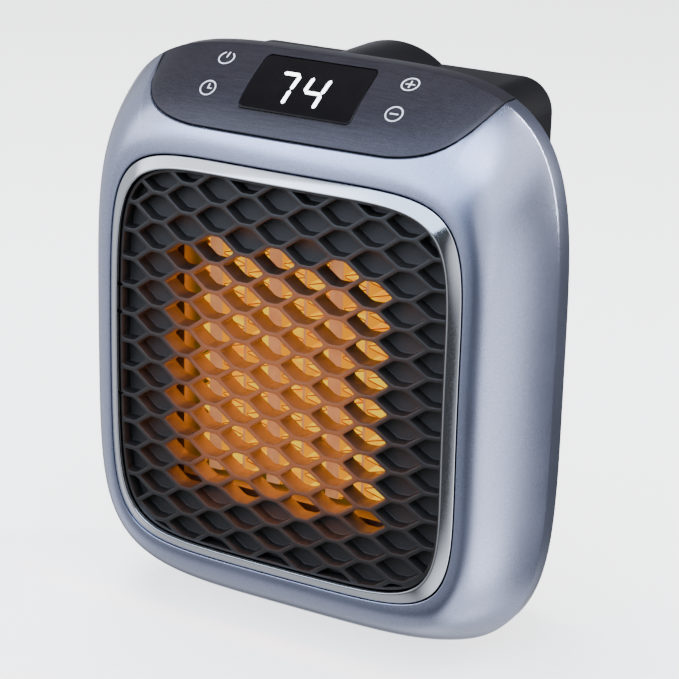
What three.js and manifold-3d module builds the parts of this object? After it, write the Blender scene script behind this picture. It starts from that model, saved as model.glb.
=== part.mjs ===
// Plug-in fan heater: a compact convector that hangs on the wall by its own mains plug.
// Millimetres. X to the right, Y from the heater's face towards the wall, Z up.
// The origin is the centre of the plug's flat face, the one that meets the wall outlet.
// Every piece is drawn in the face's own frame, where depth 0 is the plane of the bright ring and
// height 0 is the ring's centre, and one group then carries all of them to the origin.

import * as THREE from 'three';
import { mergeGeometries, mergeVertices } from 'three/addons/utils/BufferGeometryUtils.js';
import Module from 'manifold-3d';

const wasm = await Module();
wasm.setup();

// Fits shared by all pieces
const gap = 0.3;
const cutOverrun = 1;

// Bright ring round the grille
const ringExponent = 6;
const ringBand = 2.9;
const ringRise = 1.5;
const ringLip = 0.4;
const ringSeat = 1.9;
const faceBow = 1.7;

// Front shell: rolls back from the ring to a sharp crest, then runs straight as a side band
const rollRun = 14.8;
const crestRise = 24.9;
const crestDrop = 18.4;
const crestExponent = 4.4;
const rollDepth = 20.2;
const rollExponent = 2.3;
const rollShares = [0.2, 0.4, 0.58, 0.74, 0.88];
const innerRollShares = [0.35, 0.66, 0.86];
const bandDepth = 5.5;
const shellWall = 2;
const outlineSteps = 40;

// Control panel let into the top of the roll
const panelEdgeRise = 7.5;
const panelCornerRise = 0.9;
const panelSweepRun = 14.4;
const panelTipInset = 16.4;
const panelTipDrop = 4.9;
const panelCurveSteps = 7;
const windowHalfWidth = 15.8;
const windowRise = 5.4;
const windowDrop = 1.4;
const windowCorner = 1.2;

// Display and touch electronics behind the panel
const displayWidth = 29;
const displayHeight = 14.5;
const displayThickness = 5.6;
const displayInset = 3.45;
const boardThickness = 1.6;
const controlBoardMargin = 13.2;
const controlBoardHeight = 19;
const keyReach = 25.8;
const keyPitch = 7.6;
const keyPadRadius = 3;

// Grille: long hexagonal cells, blind round the border and open in front of the element
const cellPitchX = 8.82;
const cellPitchZ = 7.31;
const cellFlat = 3.65;
const cellRib = 1.15;
const cellTrimSide = 1.76;
const cellTrimEnd = 5.475;
const cellColumns = 11;
const openColumns = 7;
const cellRows = 15;
const rowShiftShare = 0.25;
const openRows = 9;
const pocketDepth = 3.5;
const grilleThickness = 5;
const grilleRim = 0.6;
const grilleFlangeDepth = 2.35;
const grilleDome = 1.5;
const grilleFit = 0.35;

// Heating element in its heat-proof frame
const elementMargin = 1.2;
const elementFrameWall = 4.2;
const elementDepth = 13.5;
const heaterBarWidth = 4;
const heaterBarCount = 4;
const heaterBarColumns = 2;
const heaterDepth = 7;
const heaterSetback = 6;
const separatorThickness = 0.8;
const finThickness = 0.5;
const finPitch = 13;
const finBond = 0.3;
const finSetback = 0.5;
const terminalThickness = 0.8;
const terminalWidth = 6.3;
const terminalLength = 8;
const terminalReach = 21;
const cutoutRadius = 6.5;
const cutoutHeight = 4.5;
const cutoutFlange = 1.2;

// Fan: duct, impeller, motor and the spider that carries it
const ductWall = 1.6;
const ductNeck = 4.5;
const ductScrewSide = 4.73;
const ductScrewRise = 2.7;
const ductScrewLength = 6;
const ductEarRadius = 3.6;
const ductEarRoot = 2.6;
const ductEarThickness = 2;
const tipClearance = 1.2;
const hubRadius = 11;
const bladeCount = 7;
const bladeThickness = 1.3;
const bladeChordRoot = 10.5;
const bladeChordTip = 19;
const bladeDepth = 9.4;
const bladeClearance = 2.4;
const bladeCamber = 1.4;
const bladeSections = 3;
const shaftRadius = 1.5;
const shaftClearance = 0.1;
const shaftNose = 1.6;
const spiderThickness = 2;
const spiderArmWidth = 4.5;
const spiderHub = 13.5;
const spiderArms = 3;
const motorRadius = 13;
const motorLength = 11;
const motorRearClearance = 1.6;
const motorBoss = 4;
const motorBossHeight = 1.2;
const motorScrewReach = 9;
const screwRadius = 1.4;
const screwHeadRadius = 2.7;
const screwHeadHeight = 1.6;

// Rear housing: dished cover, box for the fan and plug, and the round plug turret
const housingSideStep = 20.2;
const housingTopStep = 6.4;
const housingBottomStep = 14;
const housingCorner = 8.5;
const housingEdge = 1.5;
const housingWall = 2;
const dishSetback = 0.4;
const dishDepth = 5;
const dishRun = 11.5;
const dishSteps = 3;
const spigotDepth = 3;
const turretClearance = 0.7;
const turretDrop = 17.3;

// Air intake slots
const slotHeight = 2.4;
const slotPitch = 5.6;
const sideSlotLength = 13;
const sideSlotCount = 7;
const sideSlotBase = -2;
const intakeRadius = 30;
const intakeSlots = 9;
const intakeRib = 3.2;

// Swivelling mains plug
const plugStand = 7;
const plugRadius = 17.4;
const plugFlange = 1.6;
const plugFlangeThickness = 2.3;
const plugEdge = 1.2;
const plugRunClearance = 0.35;
const bladeSpacing = 12.7;
const plugBladeThickness = 1.5;
const liveBladeWidth = 6.35;
const neutralBladeWidth = 7.9;
const plugBladeLength = 17;
const plugBladeNose = 1.2;
const slipRingThickness = 0.8;
const slipRingWidth = 2.4;
const slipRingClearance = 1.9;
const slipRingPitch = 6.6;
const wiperThickness = 0.4;
const wiperWidth = 2;
const wiperLength = 9;
const retainerThickness = 1.8;
const retainerRim = 1.7;
const retainerBore = 4;
const retainerScrewSide = 6;
const retainerEarRadius = 4.2;
const retainerScrewLength = 3.6;

// Mains board, its parts and the posts that carry it
const mainBoardSideMargin = 7.6;
const mainBoardTopMargin = 5.1;
const mainBoardHeight = 26;
const mainBoardClearance = 4;
const postRadius = 2.6;
const postInset = 4;
const boardScrewLength = 6;
const relayWidth = 18;
const relayHeight = 14;
const relayDepth = 9.5;
const relayInset = 16;
const relayDrop = 13;
const capacitorInset = 15;
const capacitorWidth = 15;
const capacitorHeight = 11;
const capacitorDepth = 7;
const terminalBlockRise = 6;
const terminalBlockWidth = 20;
const terminalBlockHeight = 8;
const terminalBlockDepth = 7.5;

// Rocker switch in the side wall
const switchHeight = -26;
const switchLength = 21;
const switchWidth = 12.6;
const switchFlange = 1.6;
const switchProud = 1.4;
const switchWall = 1.3;
const switchBody = 12;
const rockerEndClearance = 1;
const rockerPin = 1;
const switchInset = 4;
const rockerRise = 3.4;
const rockerValley = 2.1;
const rockerSkirt = 2.6;
const rockerClearance = 0.5;
const rockerTilt = 8;

// Screws that join the two shells
const shellScrewClearance = 2.5;
const shellScrewHighInset = 8.6;
const shellScrewLowInset = 4.6;
const shellPostRadius = 3.4;
const shellScrewLength = 9;
const shellBossRadius = 4.4;
const shellBossFloor = 3;

// Leads
const leadRadius = 1.1;
const leadSides = 5;
const leadSteps = 7;
const leadSpread = 3;

// Derived places, in the face's frame
const grilleHalfWidth = (cellColumns * cellPitchX) / 2 - cellTrimSide;
const grilleHalfHeight = (cellRows * cellPitchZ) / 2 - cellTrimEnd;
const ringHalfWidth = grilleHalfWidth + grilleFit + ringBand;
const ringHalfHeight = grilleHalfHeight + grilleFit + ringBand;
const crestHalfWidth = ringHalfWidth + rollRun;
const crestTop = ringHalfHeight + crestRise;
const crestBottom = ringHalfHeight + crestDrop;
const shellDepth = rollDepth + bandDepth;
const panelEdgeHeight = ringHalfHeight + panelEdgeRise;
const panelCornerHeight = panelEdgeHeight + panelCornerRise;
const panelTipReach = crestHalfWidth - panelTipInset;
const panelCornerReach = panelTipReach - panelSweepRun;
const panelTipHeight = crestTop - panelTipDrop;
const windowLow = panelEdgeHeight + windowRise;
const windowHigh = crestTop - windowDrop;
const heaterHalfWidth = (openColumns * cellPitchX) / 2 + elementMargin;
const heaterHalfHeight = (openRows * cellPitchZ) / 2 + elementMargin;
const elementHalfWidth = heaterHalfWidth + elementFrameWall;
const elementHalfHeight = heaterHalfHeight + elementFrameWall;
const elementFront = grilleThickness + gap;
const elementBack = elementFront + elementDepth;
const ductFront = elementBack + gap;
const fanFront = ductFront + ductNeck;
const fanBack = fanFront + bladeDepth + 2 * bladeClearance;
const fanRadius = Math.min(heaterHalfWidth, heaterHalfHeight);
const spiderFront = fanBack + gap;
const motorFront = spiderFront + spiderThickness + gap;
const motorBack = motorFront + motorLength;
const backInside = motorBack + motorRearClearance;
const housingDepth = backInside + housingWall;
const outletDepth = housingDepth + plugStand;
const housingHalfWidth = crestHalfWidth - housingSideStep;
const housingTop = crestTop - housingTopStep;
const housingBottom = crestBottom - housingBottomStep;
const retainerRadius = plugRadius + plugFlange;
const retainerScrewReach = retainerRadius + retainerScrewSide;
const turretRadius = retainerRadius + turretClearance + housingWall;
const turretHeight = housingTop - turretDrop;
const outerRingRadius = retainerRadius - retainerRim - slipRingClearance;
const innerRingRadius = outerRingRadius - slipRingPitch;
const flangeBack = backInside - gap;
const flangeFront = flangeBack - plugFlangeThickness;
const slipRingFront = flangeFront - gap - slipRingThickness;
const wiperFront = slipRingFront - gap - wiperThickness;
const retainerFront = wiperFront - gap - retainerThickness;
const mainBoardFront = retainerFront - mainBoardClearance - boardThickness;
const mainBoardHalfWidth = housingHalfWidth - mainBoardSideMargin;
const mainBoardHigh = housingTop - mainBoardTopMargin;
const mainBoardLow = mainBoardHigh - mainBoardHeight;
const dishFloor = shellDepth + gap + dishDepth;
const switchDepth = housingDepth - switchInset - switchWidth / 2;
const shaftFront = fanFront + bladeClearance - shaftNose;

// Looks
const silverPaint = new THREE.MeshStandardMaterial({ color: 0xb9c4d2, roughness: 0.32, metalness: 0.55 });
const panelFoil = new THREE.MeshStandardMaterial({ color: 0x3c4450, roughness: 0.42, metalness: 0.6 });
const chrome = new THREE.MeshStandardMaterial({ color: 0xe6ebf0, roughness: 0.1, metalness: 1 });
const grilleBlack = new THREE.MeshStandardMaterial({ color: 0x2f2f31, roughness: 0.5, metalness: 0.1 });
const housingBlack = new THREE.MeshStandardMaterial({ color: 0x232226, roughness: 0.55, metalness: 0 });
const darkGlass = new THREE.MeshStandardMaterial({ color: 0x08080a, roughness: 0.08, metalness: 0 });
const aluminium = new THREE.MeshStandardMaterial({ color: 0xc0c2c4, roughness: 0.4, metalness: 1 });
const steel = new THREE.MeshStandardMaterial({ color: 0x9a9ca0, roughness: 0.35, metalness: 1 });
const brass = new THREE.MeshStandardMaterial({ color: 0xc8a24a, roughness: 0.3, metalness: 1 });
const boardGreen = new THREE.MeshStandardMaterial({ color: 0x1f5a38, roughness: 0.6, metalness: 0 });
const paleNylon = new THREE.MeshStandardMaterial({ color: 0xd8d4c8, roughness: 0.6, metalness: 0 });
const leadRed = new THREE.MeshStandardMaterial({ color: 0x9c2a22, roughness: 0.5, metalness: 0 });

const heater = new THREE.Group();
const fromFace = new THREE.Group();
fromFace.position.set(0, -outletDepth, -turretHeight);
heater.add(fromFace);

// Adds one named piece, drawn as a closed mesh or as a solid that is already joined and cut.
function piece(name, form, look) {
  const solid = form.isBufferGeometry ? solidOf(form) : form;
  const mesh = new THREE.Mesh(geometryOf(solid), look);
  mesh.name = name;
  fromFace.add(mesh);
  return mesh;
}

// Adds the copies of a repeated piece, numbered from 1.
function copies(name, forms, look) {
  forms.forEach((form, i) => piece(`${name}_${i + 1}`, form, look));
}

// A closed mesh as a solid that can be joined and cut, and back again.
function solidOf(geometry) {
  const bare = geometry.clone();
  bare.deleteAttribute('normal');
  bare.deleteAttribute('uv');
  const welded = mergeVertices(bare);
  const vertProperties = new Float32Array(welded.attributes.position.array);
  const triVerts = new Uint32Array(welded.index.array);
  return new wasm.Manifold(new wasm.Mesh({ numProp: 3, vertProperties, triVerts }));
}

function geometryOf(solid) {
  const mesh = solid.getMesh();
  const geometry = new THREE.BufferGeometry();
  const positions = new Float32Array(mesh.vertProperties);
  geometry.setAttribute('position', new THREE.BufferAttribute(positions, mesh.numProp));
  geometry.setIndex(new THREE.BufferAttribute(new Uint32Array(mesh.triVerts), 1));
  geometry.computeVertexNormals();
  return geometry;
}

function joined(geometries) {
  return geometries.map(solidOf).reduce((whole, part) => whole.add(part));
}

// Points of an outline seen from the front, counter-clockwise: a squared-off ellipse.
function squircle(halfWidth, top, bottom, exponent) {
  const centre = (top - bottom) / 2;
  const halfHeight = (top + bottom) / 2;
  return Array.from({ length: outlineSteps }, (_, i) => {
    const angle = (2 * Math.PI * i) / outlineSteps;
    const across = Math.cos(angle);
    const up = Math.sin(angle);
    const x = halfWidth * Math.sign(across) * Math.abs(across) ** (2 / exponent);
    const z = halfHeight * Math.sign(up) * Math.abs(up) ** (2 / exponent);
    return new THREE.Vector2(x, centre + z);
  });
}

const ringOutline = (inset) =>
  squircle(ringHalfWidth - inset, ringHalfHeight - inset, ringHalfHeight - inset, ringExponent);
const crestOutline = (inset) =>
  squircle(crestHalfWidth - inset, crestTop - inset, crestBottom - inset, crestExponent);
const blend = (from, to, share) => from.map((point, i) => point.clone().lerp(to[i], share));

// The face is not flat: it bows forward towards its middle, by this much at a point of the opening.
function bow(x, z) {
  return -faceBow * (2 - (x / ringHalfWidth) ** 2 - (z / ringHalfHeight) ** 2);
}

const atDepth = (outline, depth) => outline.map((point) => new THREE.Vector3(point.x, depth, point.y));
const onFace = (outline, depth) =>
  outline.map((point) => new THREE.Vector3(point.x, depth + bow(point.x, point.y), point.y));

// Skin through a row of loops. It is closed by its own first loop, or by a flat cap at each end.
function loft(loops, closed) {
  const size = loops[0].length;
  const positions = loops.flat().flatMap((point) => [point.x, point.y, point.z]);
  const faces = [];
  const spans = closed ? loops.length : loops.length - 1;
  for (let span = 0; span < spans; span += 1) {
    const near = span * size;
    const far = ((span + 1) % loops.length) * size;
    for (let i = 0; i < size; i += 1) {
      const next = (i + 1) % size;
      faces.push(near + i, far + i, near + next, near + next, far + i, far + next);
    }
  }
  if (!closed) {
    const last = (loops.length - 1) * size;
    for (let i = 1; i < size - 1; i += 1) {
      faces.push(0, i, i + 1, last, last + i + 1, last + i);
    }
  }
  const geometry = new THREE.BufferGeometry();
  geometry.setAttribute('position', new THREE.Float32BufferAttribute(positions, 3));
  geometry.setIndex(faces);
  geometry.computeVertexNormals();
  return geometry;
}

// Flat shape drawn from the front and extruded towards the wall.
function plate(shape, front, thickness, curveSegments = 12) {
  const settings = { depth: thickness, bevelEnabled: false, curveSegments };
  const geometry = new THREE.ExtrudeGeometry(shape, settings);
  geometry.rotateX(Math.PI / 2);
  geometry.translate(0, front + thickness, 0);
  return geometry;
}

function block(width, depth, height, x, front, z) {
  return new THREE.BoxGeometry(width, depth, height).translate(x, front + depth / 2, z);
}

// Round piece on an axis along the depth, from a profile of [radius, depth] pairs.
function turned(profile, x, z, sides) {
  const points = profile.map(([radius, depth]) => new THREE.Vector2(radius, depth));
  return new THREE.LatheGeometry(points, sides).translate(x, 0, z);
}

function disc(radius, front, thickness, x, z, sides = 32) {
  const geometry = new THREE.CylinderGeometry(radius, radius, thickness, sides);
  return geometry.translate(x, front + thickness / 2, z);
}

function collar(inner, outer, front, thickness, x, z, sides = 32) {
  const back = front + thickness;
  return turned([[inner, front], [outer, front], [outer, back], [inner, back], [inner, front]], x, z, sides);
}

function roundedRectangle(halfWidth, top, bottom, radius) {
  const shape = new THREE.Shape();
  shape.moveTo(-halfWidth + radius, -bottom);
  shape.lineTo(halfWidth - radius, -bottom);
  shape.absarc(halfWidth - radius, -bottom + radius, radius, -Math.PI / 2, 0);
  shape.lineTo(halfWidth, top - radius);
  shape.absarc(halfWidth - radius, top - radius, radius, 0, Math.PI / 2);
  shape.lineTo(-halfWidth + radius, top);
  shape.absarc(-halfWidth + radius, top - radius, radius, Math.PI / 2, Math.PI);
  shape.lineTo(-halfWidth, -bottom + radius);
  shape.absarc(-halfWidth + radius, -bottom + radius, radius, Math.PI, (3 * Math.PI) / 2);
  return shape;
}

// Front shell and the bodies that fill it

const openingOutline = ringOutline(-grilleFit);

function rollLoop(inset, share, depthShift) {
  const outline = blend(ringOutline(inset - grilleFit), crestOutline(inset), share);
  const depth = rollDepth * share ** rollExponent + depthShift;
  const start = ringOutline(0);
  return outline.map((point, i) => {
    const rise = bow(start[i].x, start[i].y) * (1 - share);
    return new THREE.Vector3(point.x, depth + rise, point.y);
  });
}

function rollLoops(shares, inset, depthShift) {
  return [...shares, 1].map((share) => rollLoop(inset, share, depthShift));
}

// Depth and height of the roll's outer face over the middle of the ring, at a height above the ring.
function rollPoint(height) {
  const share = (height - ringHalfHeight) / (crestTop - ringHalfHeight);
  const depth = rollDepth * share ** rollExponent + bow(0, ringHalfHeight) * (1 - share);
  return new THREE.Vector2(depth, height);
}

const shellSkin = loft(
  [
    onFace(openingOutline, 0),
    ...rollLoops(rollShares, 0, 0),
    atDepth(crestOutline(0), shellDepth),
    atDepth(crestOutline(shellWall), shellDepth),
    ...rollLoops(innerRollShares, shellWall, shellWall).reverse(),
    onFace(ringOutline(-grilleFit - shellWall), grilleThickness + grilleDome),
    onFace(openingOutline, grilleThickness + grilleDome),
  ],
  true,
);
const shellBulk = loft(
  [onFace(openingOutline, 0), ...rollLoops(rollShares, 0, 0), atDepth(crestOutline(0), shellDepth)],
  false,
);

const shellScrewReach = ringHalfWidth + shellScrewClearance;
const shellScrewPlaces = [-shellScrewReach, shellScrewReach].flatMap((x) => [
  [x, ringHalfHeight - shellScrewHighInset],
  [x, shellScrewLowInset - ringHalfHeight],
]);
const spigotFront = shellDepth - spigotDepth;

// The panel's outline seen from the front: level below, swept up at both ends to tips on the crest.
function panelShape(grow) {
  const top = crestTop + cutOverrun;
  const shape = new THREE.Shape();
  shape.moveTo(-panelTipReach - grow, top);
  shape.lineTo(-panelTipReach - grow, panelTipHeight);
  const sweep = (panelTipReach - panelCornerReach) / 2;
  shape.bezierCurveTo(
    -panelTipReach + sweep / 2 - grow, panelTipHeight - sweep / 2,
    -panelCornerReach - sweep - grow / 2, panelCornerHeight - grow,
    -panelCornerReach + sweep, panelEdgeHeight - grow,
  );
  shape.lineTo(panelCornerReach - sweep, panelEdgeHeight - grow);
  shape.bezierCurveTo(
    panelCornerReach + sweep + grow / 2, panelCornerHeight - grow,
    panelTipReach - sweep / 2 + grow, panelTipHeight - sweep / 2,
    panelTipReach + grow, panelTipHeight,
  );
  shape.lineTo(panelTipReach + grow, top);
  return shape;
}

function panelPrism(grow) {
  const front = -2 * faceBow - cutOverrun;
  return solidOf(plate(panelShape(grow), front, shellDepth + cutOverrun - front, panelCurveSteps));
}

function windowPrism(grow) {
  const top = windowHigh + grow;
  const bottom = grow - windowLow;
  const shape = roundedRectangle(windowHalfWidth + grow, top, bottom, windowCorner + grow);
  const front = -2 * faceBow - cutOverrun;
  return solidOf(plate(shape, front, rollDepth + grow - front, 2));
}

const shellSolid = solidOf(shellSkin);
let frontShell = shellSolid.subtract(panelPrism(gap / 2));
for (const [x, z] of shellScrewPlaces) {
  const post = disc(shellPostRadius, shellWall / 2, spigotFront - gap - shellWall / 2, x, z, 10);
  const bore = disc(screwRadius + gap, spigotFront - shellScrewLength, shellScrewLength, x, z, 8);
  frontShell = frontShell.add(solidOf(post).intersect(solidOf(shellBulk))).subtract(solidOf(bore));
}
piece('front_shell', frontShell, silverPaint);

// Control panel with its display window
const panelSolid = shellSolid.intersect(panelPrism(-gap / 2));
piece('control_panel', panelSolid.subtract(windowPrism(gap)), panelFoil);
piece('display_window', panelSolid.intersect(windowPrism(0)), darkGlass);

// Bright ring: its face falls away outwards from a narrow lip at its inner edge
piece('chrome_ring', loft(
  [
    onFace(ringOutline(ringBand), -ringRise),
    onFace(ringOutline(ringBand - ringLip), -ringRise),
    onFace(ringOutline(0), 0),
    onFace(ringOutline(0), ringSeat),
    onFace(ringOutline(ringBand), ringSeat),
  ],
  true,
), chrome);

// Grille, cut flat and then bent to the face
const grilleInset = ringBand + grilleFit;

function cellPrism(column, row, depth) {
  const x = column * cellPitchX;
  const shift = column % 2 === 0 ? rowShiftShare : -rowShiftShare;
  const z = (row + shift) * cellPitchZ;
  const slantRun = cellPitchX - cellFlat;
  const slope = Math.atan2(cellPitchZ / 2, slantRun);
  const halfHeight = (cellPitchZ - cellRib) / 2;
  const tip = cellFlat / 2 + slantRun - cellRib / 2 / Math.sin(slope);
  const corner = tip - halfHeight / Math.tan(slope);
  const shape = new THREE.Shape([
    new THREE.Vector2(x + tip, z),
    new THREE.Vector2(x + corner, z + halfHeight),
    new THREE.Vector2(x - corner, z + halfHeight),
    new THREE.Vector2(x - tip, z),
    new THREE.Vector2(x - corner, z - halfHeight),
    new THREE.Vector2(x + corner, z - halfHeight),
  ]);
  return plate(shape, -cutOverrun, cutOverrun + depth);
}

const isOpen = (column, row) =>
  Math.abs(column) <= (openColumns - 1) / 2 && Math.abs(row) <= (openRows - 1) / 2;

function cellGroup(open, depth) {
  const prisms = [];
  for (let column = -(cellColumns - 1) / 2; column <= (cellColumns - 1) / 2; column += 1) {
    for (let row = -(cellRows - 1) / 2; row <= (cellRows - 1) / 2; row += 1) {
      if (isOpen(column, row) === open) prisms.push(cellPrism(column, row, depth));
    }
  }
  return solidOf(mergeGeometries(prisms));
}

function straight(outline, front, back) {
  return loft([atDepth(outline, front), atDepth(outline, back)], false);
}

function bend(solid) {
  return solid.warp((point) => {
    const [x, , z] = point;
    const dome = grilleDome * (1 - (x / ringHalfWidth) ** 2) * (1 - (z / ringHalfHeight) ** 2);
    point[1] += bow(x, z) - Math.max(dome, 0);
  });
}

const grilleBody = joined([
  straight(ringOutline(grilleInset), 0, grilleThickness),
  straight(ringOutline(0), grilleFlangeDepth, grilleThickness),
]);
const pocketField = solidOf(straight(ringOutline(grilleInset + grilleRim), -cutOverrun, pocketDepth));
const pockets = cellGroup(false, pocketDepth).intersect(pocketField);
const openCells = cellGroup(true, grilleThickness + cutOverrun);
const ductScrewPlaces = [-1, 1].flatMap((side) => [-1, 1].map((level) =>
  [side * (elementHalfWidth + ductScrewSide), level * (elementHalfHeight + ductScrewRise)]));
const grillePosts = joined(ductScrewPlaces.map(([x, z]) =>
  collar(screwRadius + gap, postRadius, pocketDepth, ductFront - gap - pocketDepth, x, z, 8)));
const grille = grilleBody.subtract(pockets).subtract(openCells);
piece('front_grille', bend(grille).add(grillePosts), grilleBlack);

// Heating element: upright heater bars and separator strips with folded fins between them
function frameShape(halfWidth, halfHeight, holeHalfWidth, holeHalfHeight) {
  const corners = (w, h) => [[-w, -h], [w, -h], [w, h], [-w, h]].map(([x, z]) => new THREE.Vector2(x, z));
  const shape = new THREE.Shape(corners(halfWidth, halfHeight));
  shape.holes.push(new THREE.Path(corners(holeHalfWidth, holeHalfHeight)));
  return shape;
}

piece('element_frame', plate(
  frameShape(elementHalfWidth, elementHalfHeight, heaterHalfWidth, heaterHalfHeight),
  elementFront,
  elementDepth,
), paleNylon);

const heaterFront = elementFront + heaterSetback;
const heaterBarPitch = heaterBarColumns * cellPitchX;
const heaterUprights = Array.from({ length: 2 * heaterBarCount - 1 }, (_, i) => ({
  x: (i - (heaterBarCount - 1)) * heaterBarPitch / 2,
  width: i % 2 ? separatorThickness : heaterBarWidth,
}));

function foldedFin(left, right) {
  const rise = finPitch / 2;
  const folds = Math.floor((2 * (heaterHalfHeight - gap)) / rise);
  const sideways = (finThickness * Math.hypot(right - left, rise)) / rise / 2;
  const line = (shift) => Array.from({ length: folds + 1 }, (_, i) => {
    const x = i % 2 ? right - sideways : left + sideways;
    return new THREE.Vector2(x + shift, (i - folds / 2) * rise);
  });
  const shape = new THREE.Shape([...line(sideways), ...line(-sideways).reverse()]);
  return plate(shape, heaterFront + finSetback, heaterDepth - 2 * finSetback);
}

const finLefts = [gap - heaterHalfWidth, ...heaterUprights.map(({ x, width }) => x + width / 2 - finBond)];
const finRights = [...heaterUprights.map(({ x, width }) => x - width / 2 + finBond), heaterHalfWidth - gap];
piece('heating_element', joined([
  ...heaterUprights.map(({ x, width }) =>
    block(width, heaterDepth, 2 * (heaterHalfHeight - gap), x, heaterFront, 0)),
  ...finLefts.map((left, i) => foldedFin(left, finRights[i])),
]), aluminium);

const frameTop = elementHalfHeight + gap;
const elementMiddle = elementFront + elementDepth / 2;
copies('element_terminal', [-terminalReach, terminalReach].map((x) =>
  block(terminalWidth, terminalThickness, terminalLength, x, elementMiddle,
    frameTop + terminalLength / 2)), brass);

function upright(radius, x, depth, bottom, height, sides) {
  const geometry = new THREE.CylinderGeometry(radius, radius, height, sides);
  geometry.rotateX(Math.PI / 2);
  return geometry.translate(x, depth, bottom + height / 2);
}

piece('thermal_cutout', joined([
  upright(cutoutRadius, 0, elementMiddle, frameTop, cutoutHeight, 16),
  block(
    2 * (cutoutRadius + terminalWidth),
    terminalWidth,
    cutoutFlange,
    0,
    elementMiddle - terminalWidth / 2,
    frameTop + cutoutFlange / 2,
  ),
]), steel);

// Fan duct: square at the element, round at the fan
const ductBore = fanRadius + tipClearance;
const roundLoop = (radius) => squircle(radius, radius, radius, 2);
const squareLoop = (inset) =>
  squircle(elementHalfWidth - inset, elementHalfHeight - inset, elementHalfHeight - inset, 2 * ringExponent);
const ductSkin = loft(
  [
    atDepth(squareLoop(0), ductFront),
    atDepth(roundLoop(ductBore + ductWall), fanFront),
    atDepth(roundLoop(ductBore + ductWall), fanBack),
    atDepth(roundLoop(ductBore), fanBack),
    atDepth(roundLoop(ductBore), fanFront),
    atDepth(squareLoop(ductWall), ductFront),
  ],
  true,
);
const earWidth = ductScrewSide + ductEarRadius + ductEarRoot;
const earHeight = ductScrewRise + ductEarRadius + ductEarRoot;
const ductEars = ductScrewPlaces.map(([x, z]) => block(
  earWidth,
  ductEarThickness,
  earHeight,
  x + Math.sign(x) * (ductEarRadius - earWidth / 2),
  ductFront,
  z + Math.sign(z) * (ductEarRadius - earHeight / 2),
));
const ductEarHoles = ductScrewPlaces.map(([x, z]) =>
  disc(screwRadius + gap, ductFront - cutOverrun, ductEarThickness + 2 * cutOverrun, x, z, 8));
piece('fan_duct', joined([ductSkin, ...ductEars]).subtract(joined(ductEarHoles)), housingBlack);
copies('duct_screw', ductScrewPlaces.map(([x, z]) =>
  screw(x, z, ductFront + ductEarThickness + gap, ductEarThickness + ductScrewLength, true)), steel);

// Impeller: cambered, twisted blades round a domed hub
function bladeLoop(radius) {
  const share = (radius - hubRadius) / (fanRadius - hubRadius);
  const chord = bladeChordRoot + (bladeChordTip - bladeChordRoot) * share;
  const sweep = Math.sqrt(Math.max(chord ** 2 - bladeDepth ** 2, bladeThickness ** 2));
  const middle = fanFront + bladeClearance + bladeDepth / 2;
  const tilt = Math.atan2(sweep, bladeDepth);
  const half = bladeThickness / 2;
  const line = [-1, 0, 1].map((end) => {
    const out = bladeCamber * (1 - end * end);
    return [
      (end * sweep) / 2 + out * Math.cos(tilt),
      (end * (bladeDepth - bladeThickness)) / 2 - out * Math.sin(tilt),
    ];
  });
  const side = (sign) => line.map(([along, rise]) => {
    const angle = (along + sign * half * Math.cos(tilt)) / radius;
    const depth = middle + rise - sign * half * Math.sin(tilt);
    return new THREE.Vector3(radius * Math.cos(angle), depth, radius * Math.sin(angle));
  });
  return [...side(1), ...side(-1).reverse()];
}

const blade = loft(Array.from({ length: bladeSections }, (_, i) => {
  const root = hubRadius - bladeThickness;
  return bladeLoop(root + ((fanRadius - root) * i) / (bladeSections - 1));
}), false);
const hubFront = fanFront + bladeClearance;
const hubBack = hubFront + bladeDepth;
const boreRadius = shaftRadius + shaftClearance;
const hub = turned(
  [
    [boreRadius, hubFront],
    [hubRadius / 2, hubFront],
    [hubRadius, hubFront + bladeThickness * 2],
    [hubRadius, hubBack],
    [boreRadius, hubBack],
    [boreRadius, hubFront],
  ],
  0, 0, 21,
);
const blades = Array.from({ length: bladeCount }, (_, i) =>
  blade.clone().rotateY((2 * Math.PI * i) / bladeCount));
piece('fan_impeller', joined([hub, ...blades]), grilleBlack);
piece('motor_shaft', disc(shaftRadius, shaftFront, motorBack - gap - shaftFront, 0, 0, 16), steel);

// Motor spider and motor
const spiderParts = [
  collar(ductBore, ductBore + ductWall, spiderFront, spiderThickness, 0, 0, 24),
  disc(spiderHub, spiderFront, spiderThickness, 0, 0, 20),
];
for (let i = 0; i < spiderArms; i += 1) {
  const reach = (spiderHub + ductBore) / 2 + ductWall / 4;
  const arm = block(spiderArmWidth, spiderThickness, ductBore - spiderHub + ductWall, 0, spiderFront, reach);
  spiderParts.push(arm.rotateY((2 * Math.PI * (i + 1 / 2)) / spiderArms));
}
const throughSpider = [spiderFront - cutOverrun, spiderThickness + 2 * cutOverrun];
const motorScrewPlaces = [-motorScrewReach, motorScrewReach];
const spiderHoles = joined([
  disc(motorBoss + gap, ...throughSpider, 0, 0, 24),
  ...motorScrewPlaces.map((x) => disc(screwRadius + gap, ...throughSpider, x, 0, 8)),
]);
piece('motor_spider', joined(spiderParts).subtract(spiderHoles), housingBlack);

const motorBody = solidOf(turned(
  [
    [boreRadius, motorFront - motorBossHeight],
    [motorBoss, motorFront - motorBossHeight],
    [motorBoss, motorFront],
    [motorRadius, motorFront],
    [motorRadius, motorBack],
    [boreRadius, motorBack],
    [boreRadius, motorFront - motorBossHeight],
  ],
  0, 0, 24,
));
const motorScrewLength = spiderThickness + motorLength / 3;
const motorTaps = joined(motorScrewPlaces.map((x) =>
  disc(screwRadius + gap, motorFront - cutOverrun, motorLength / 3 + cutOverrun, x, 0, 8)));
piece('fan_motor', motorBody.subtract(motorTaps), steel);

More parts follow.
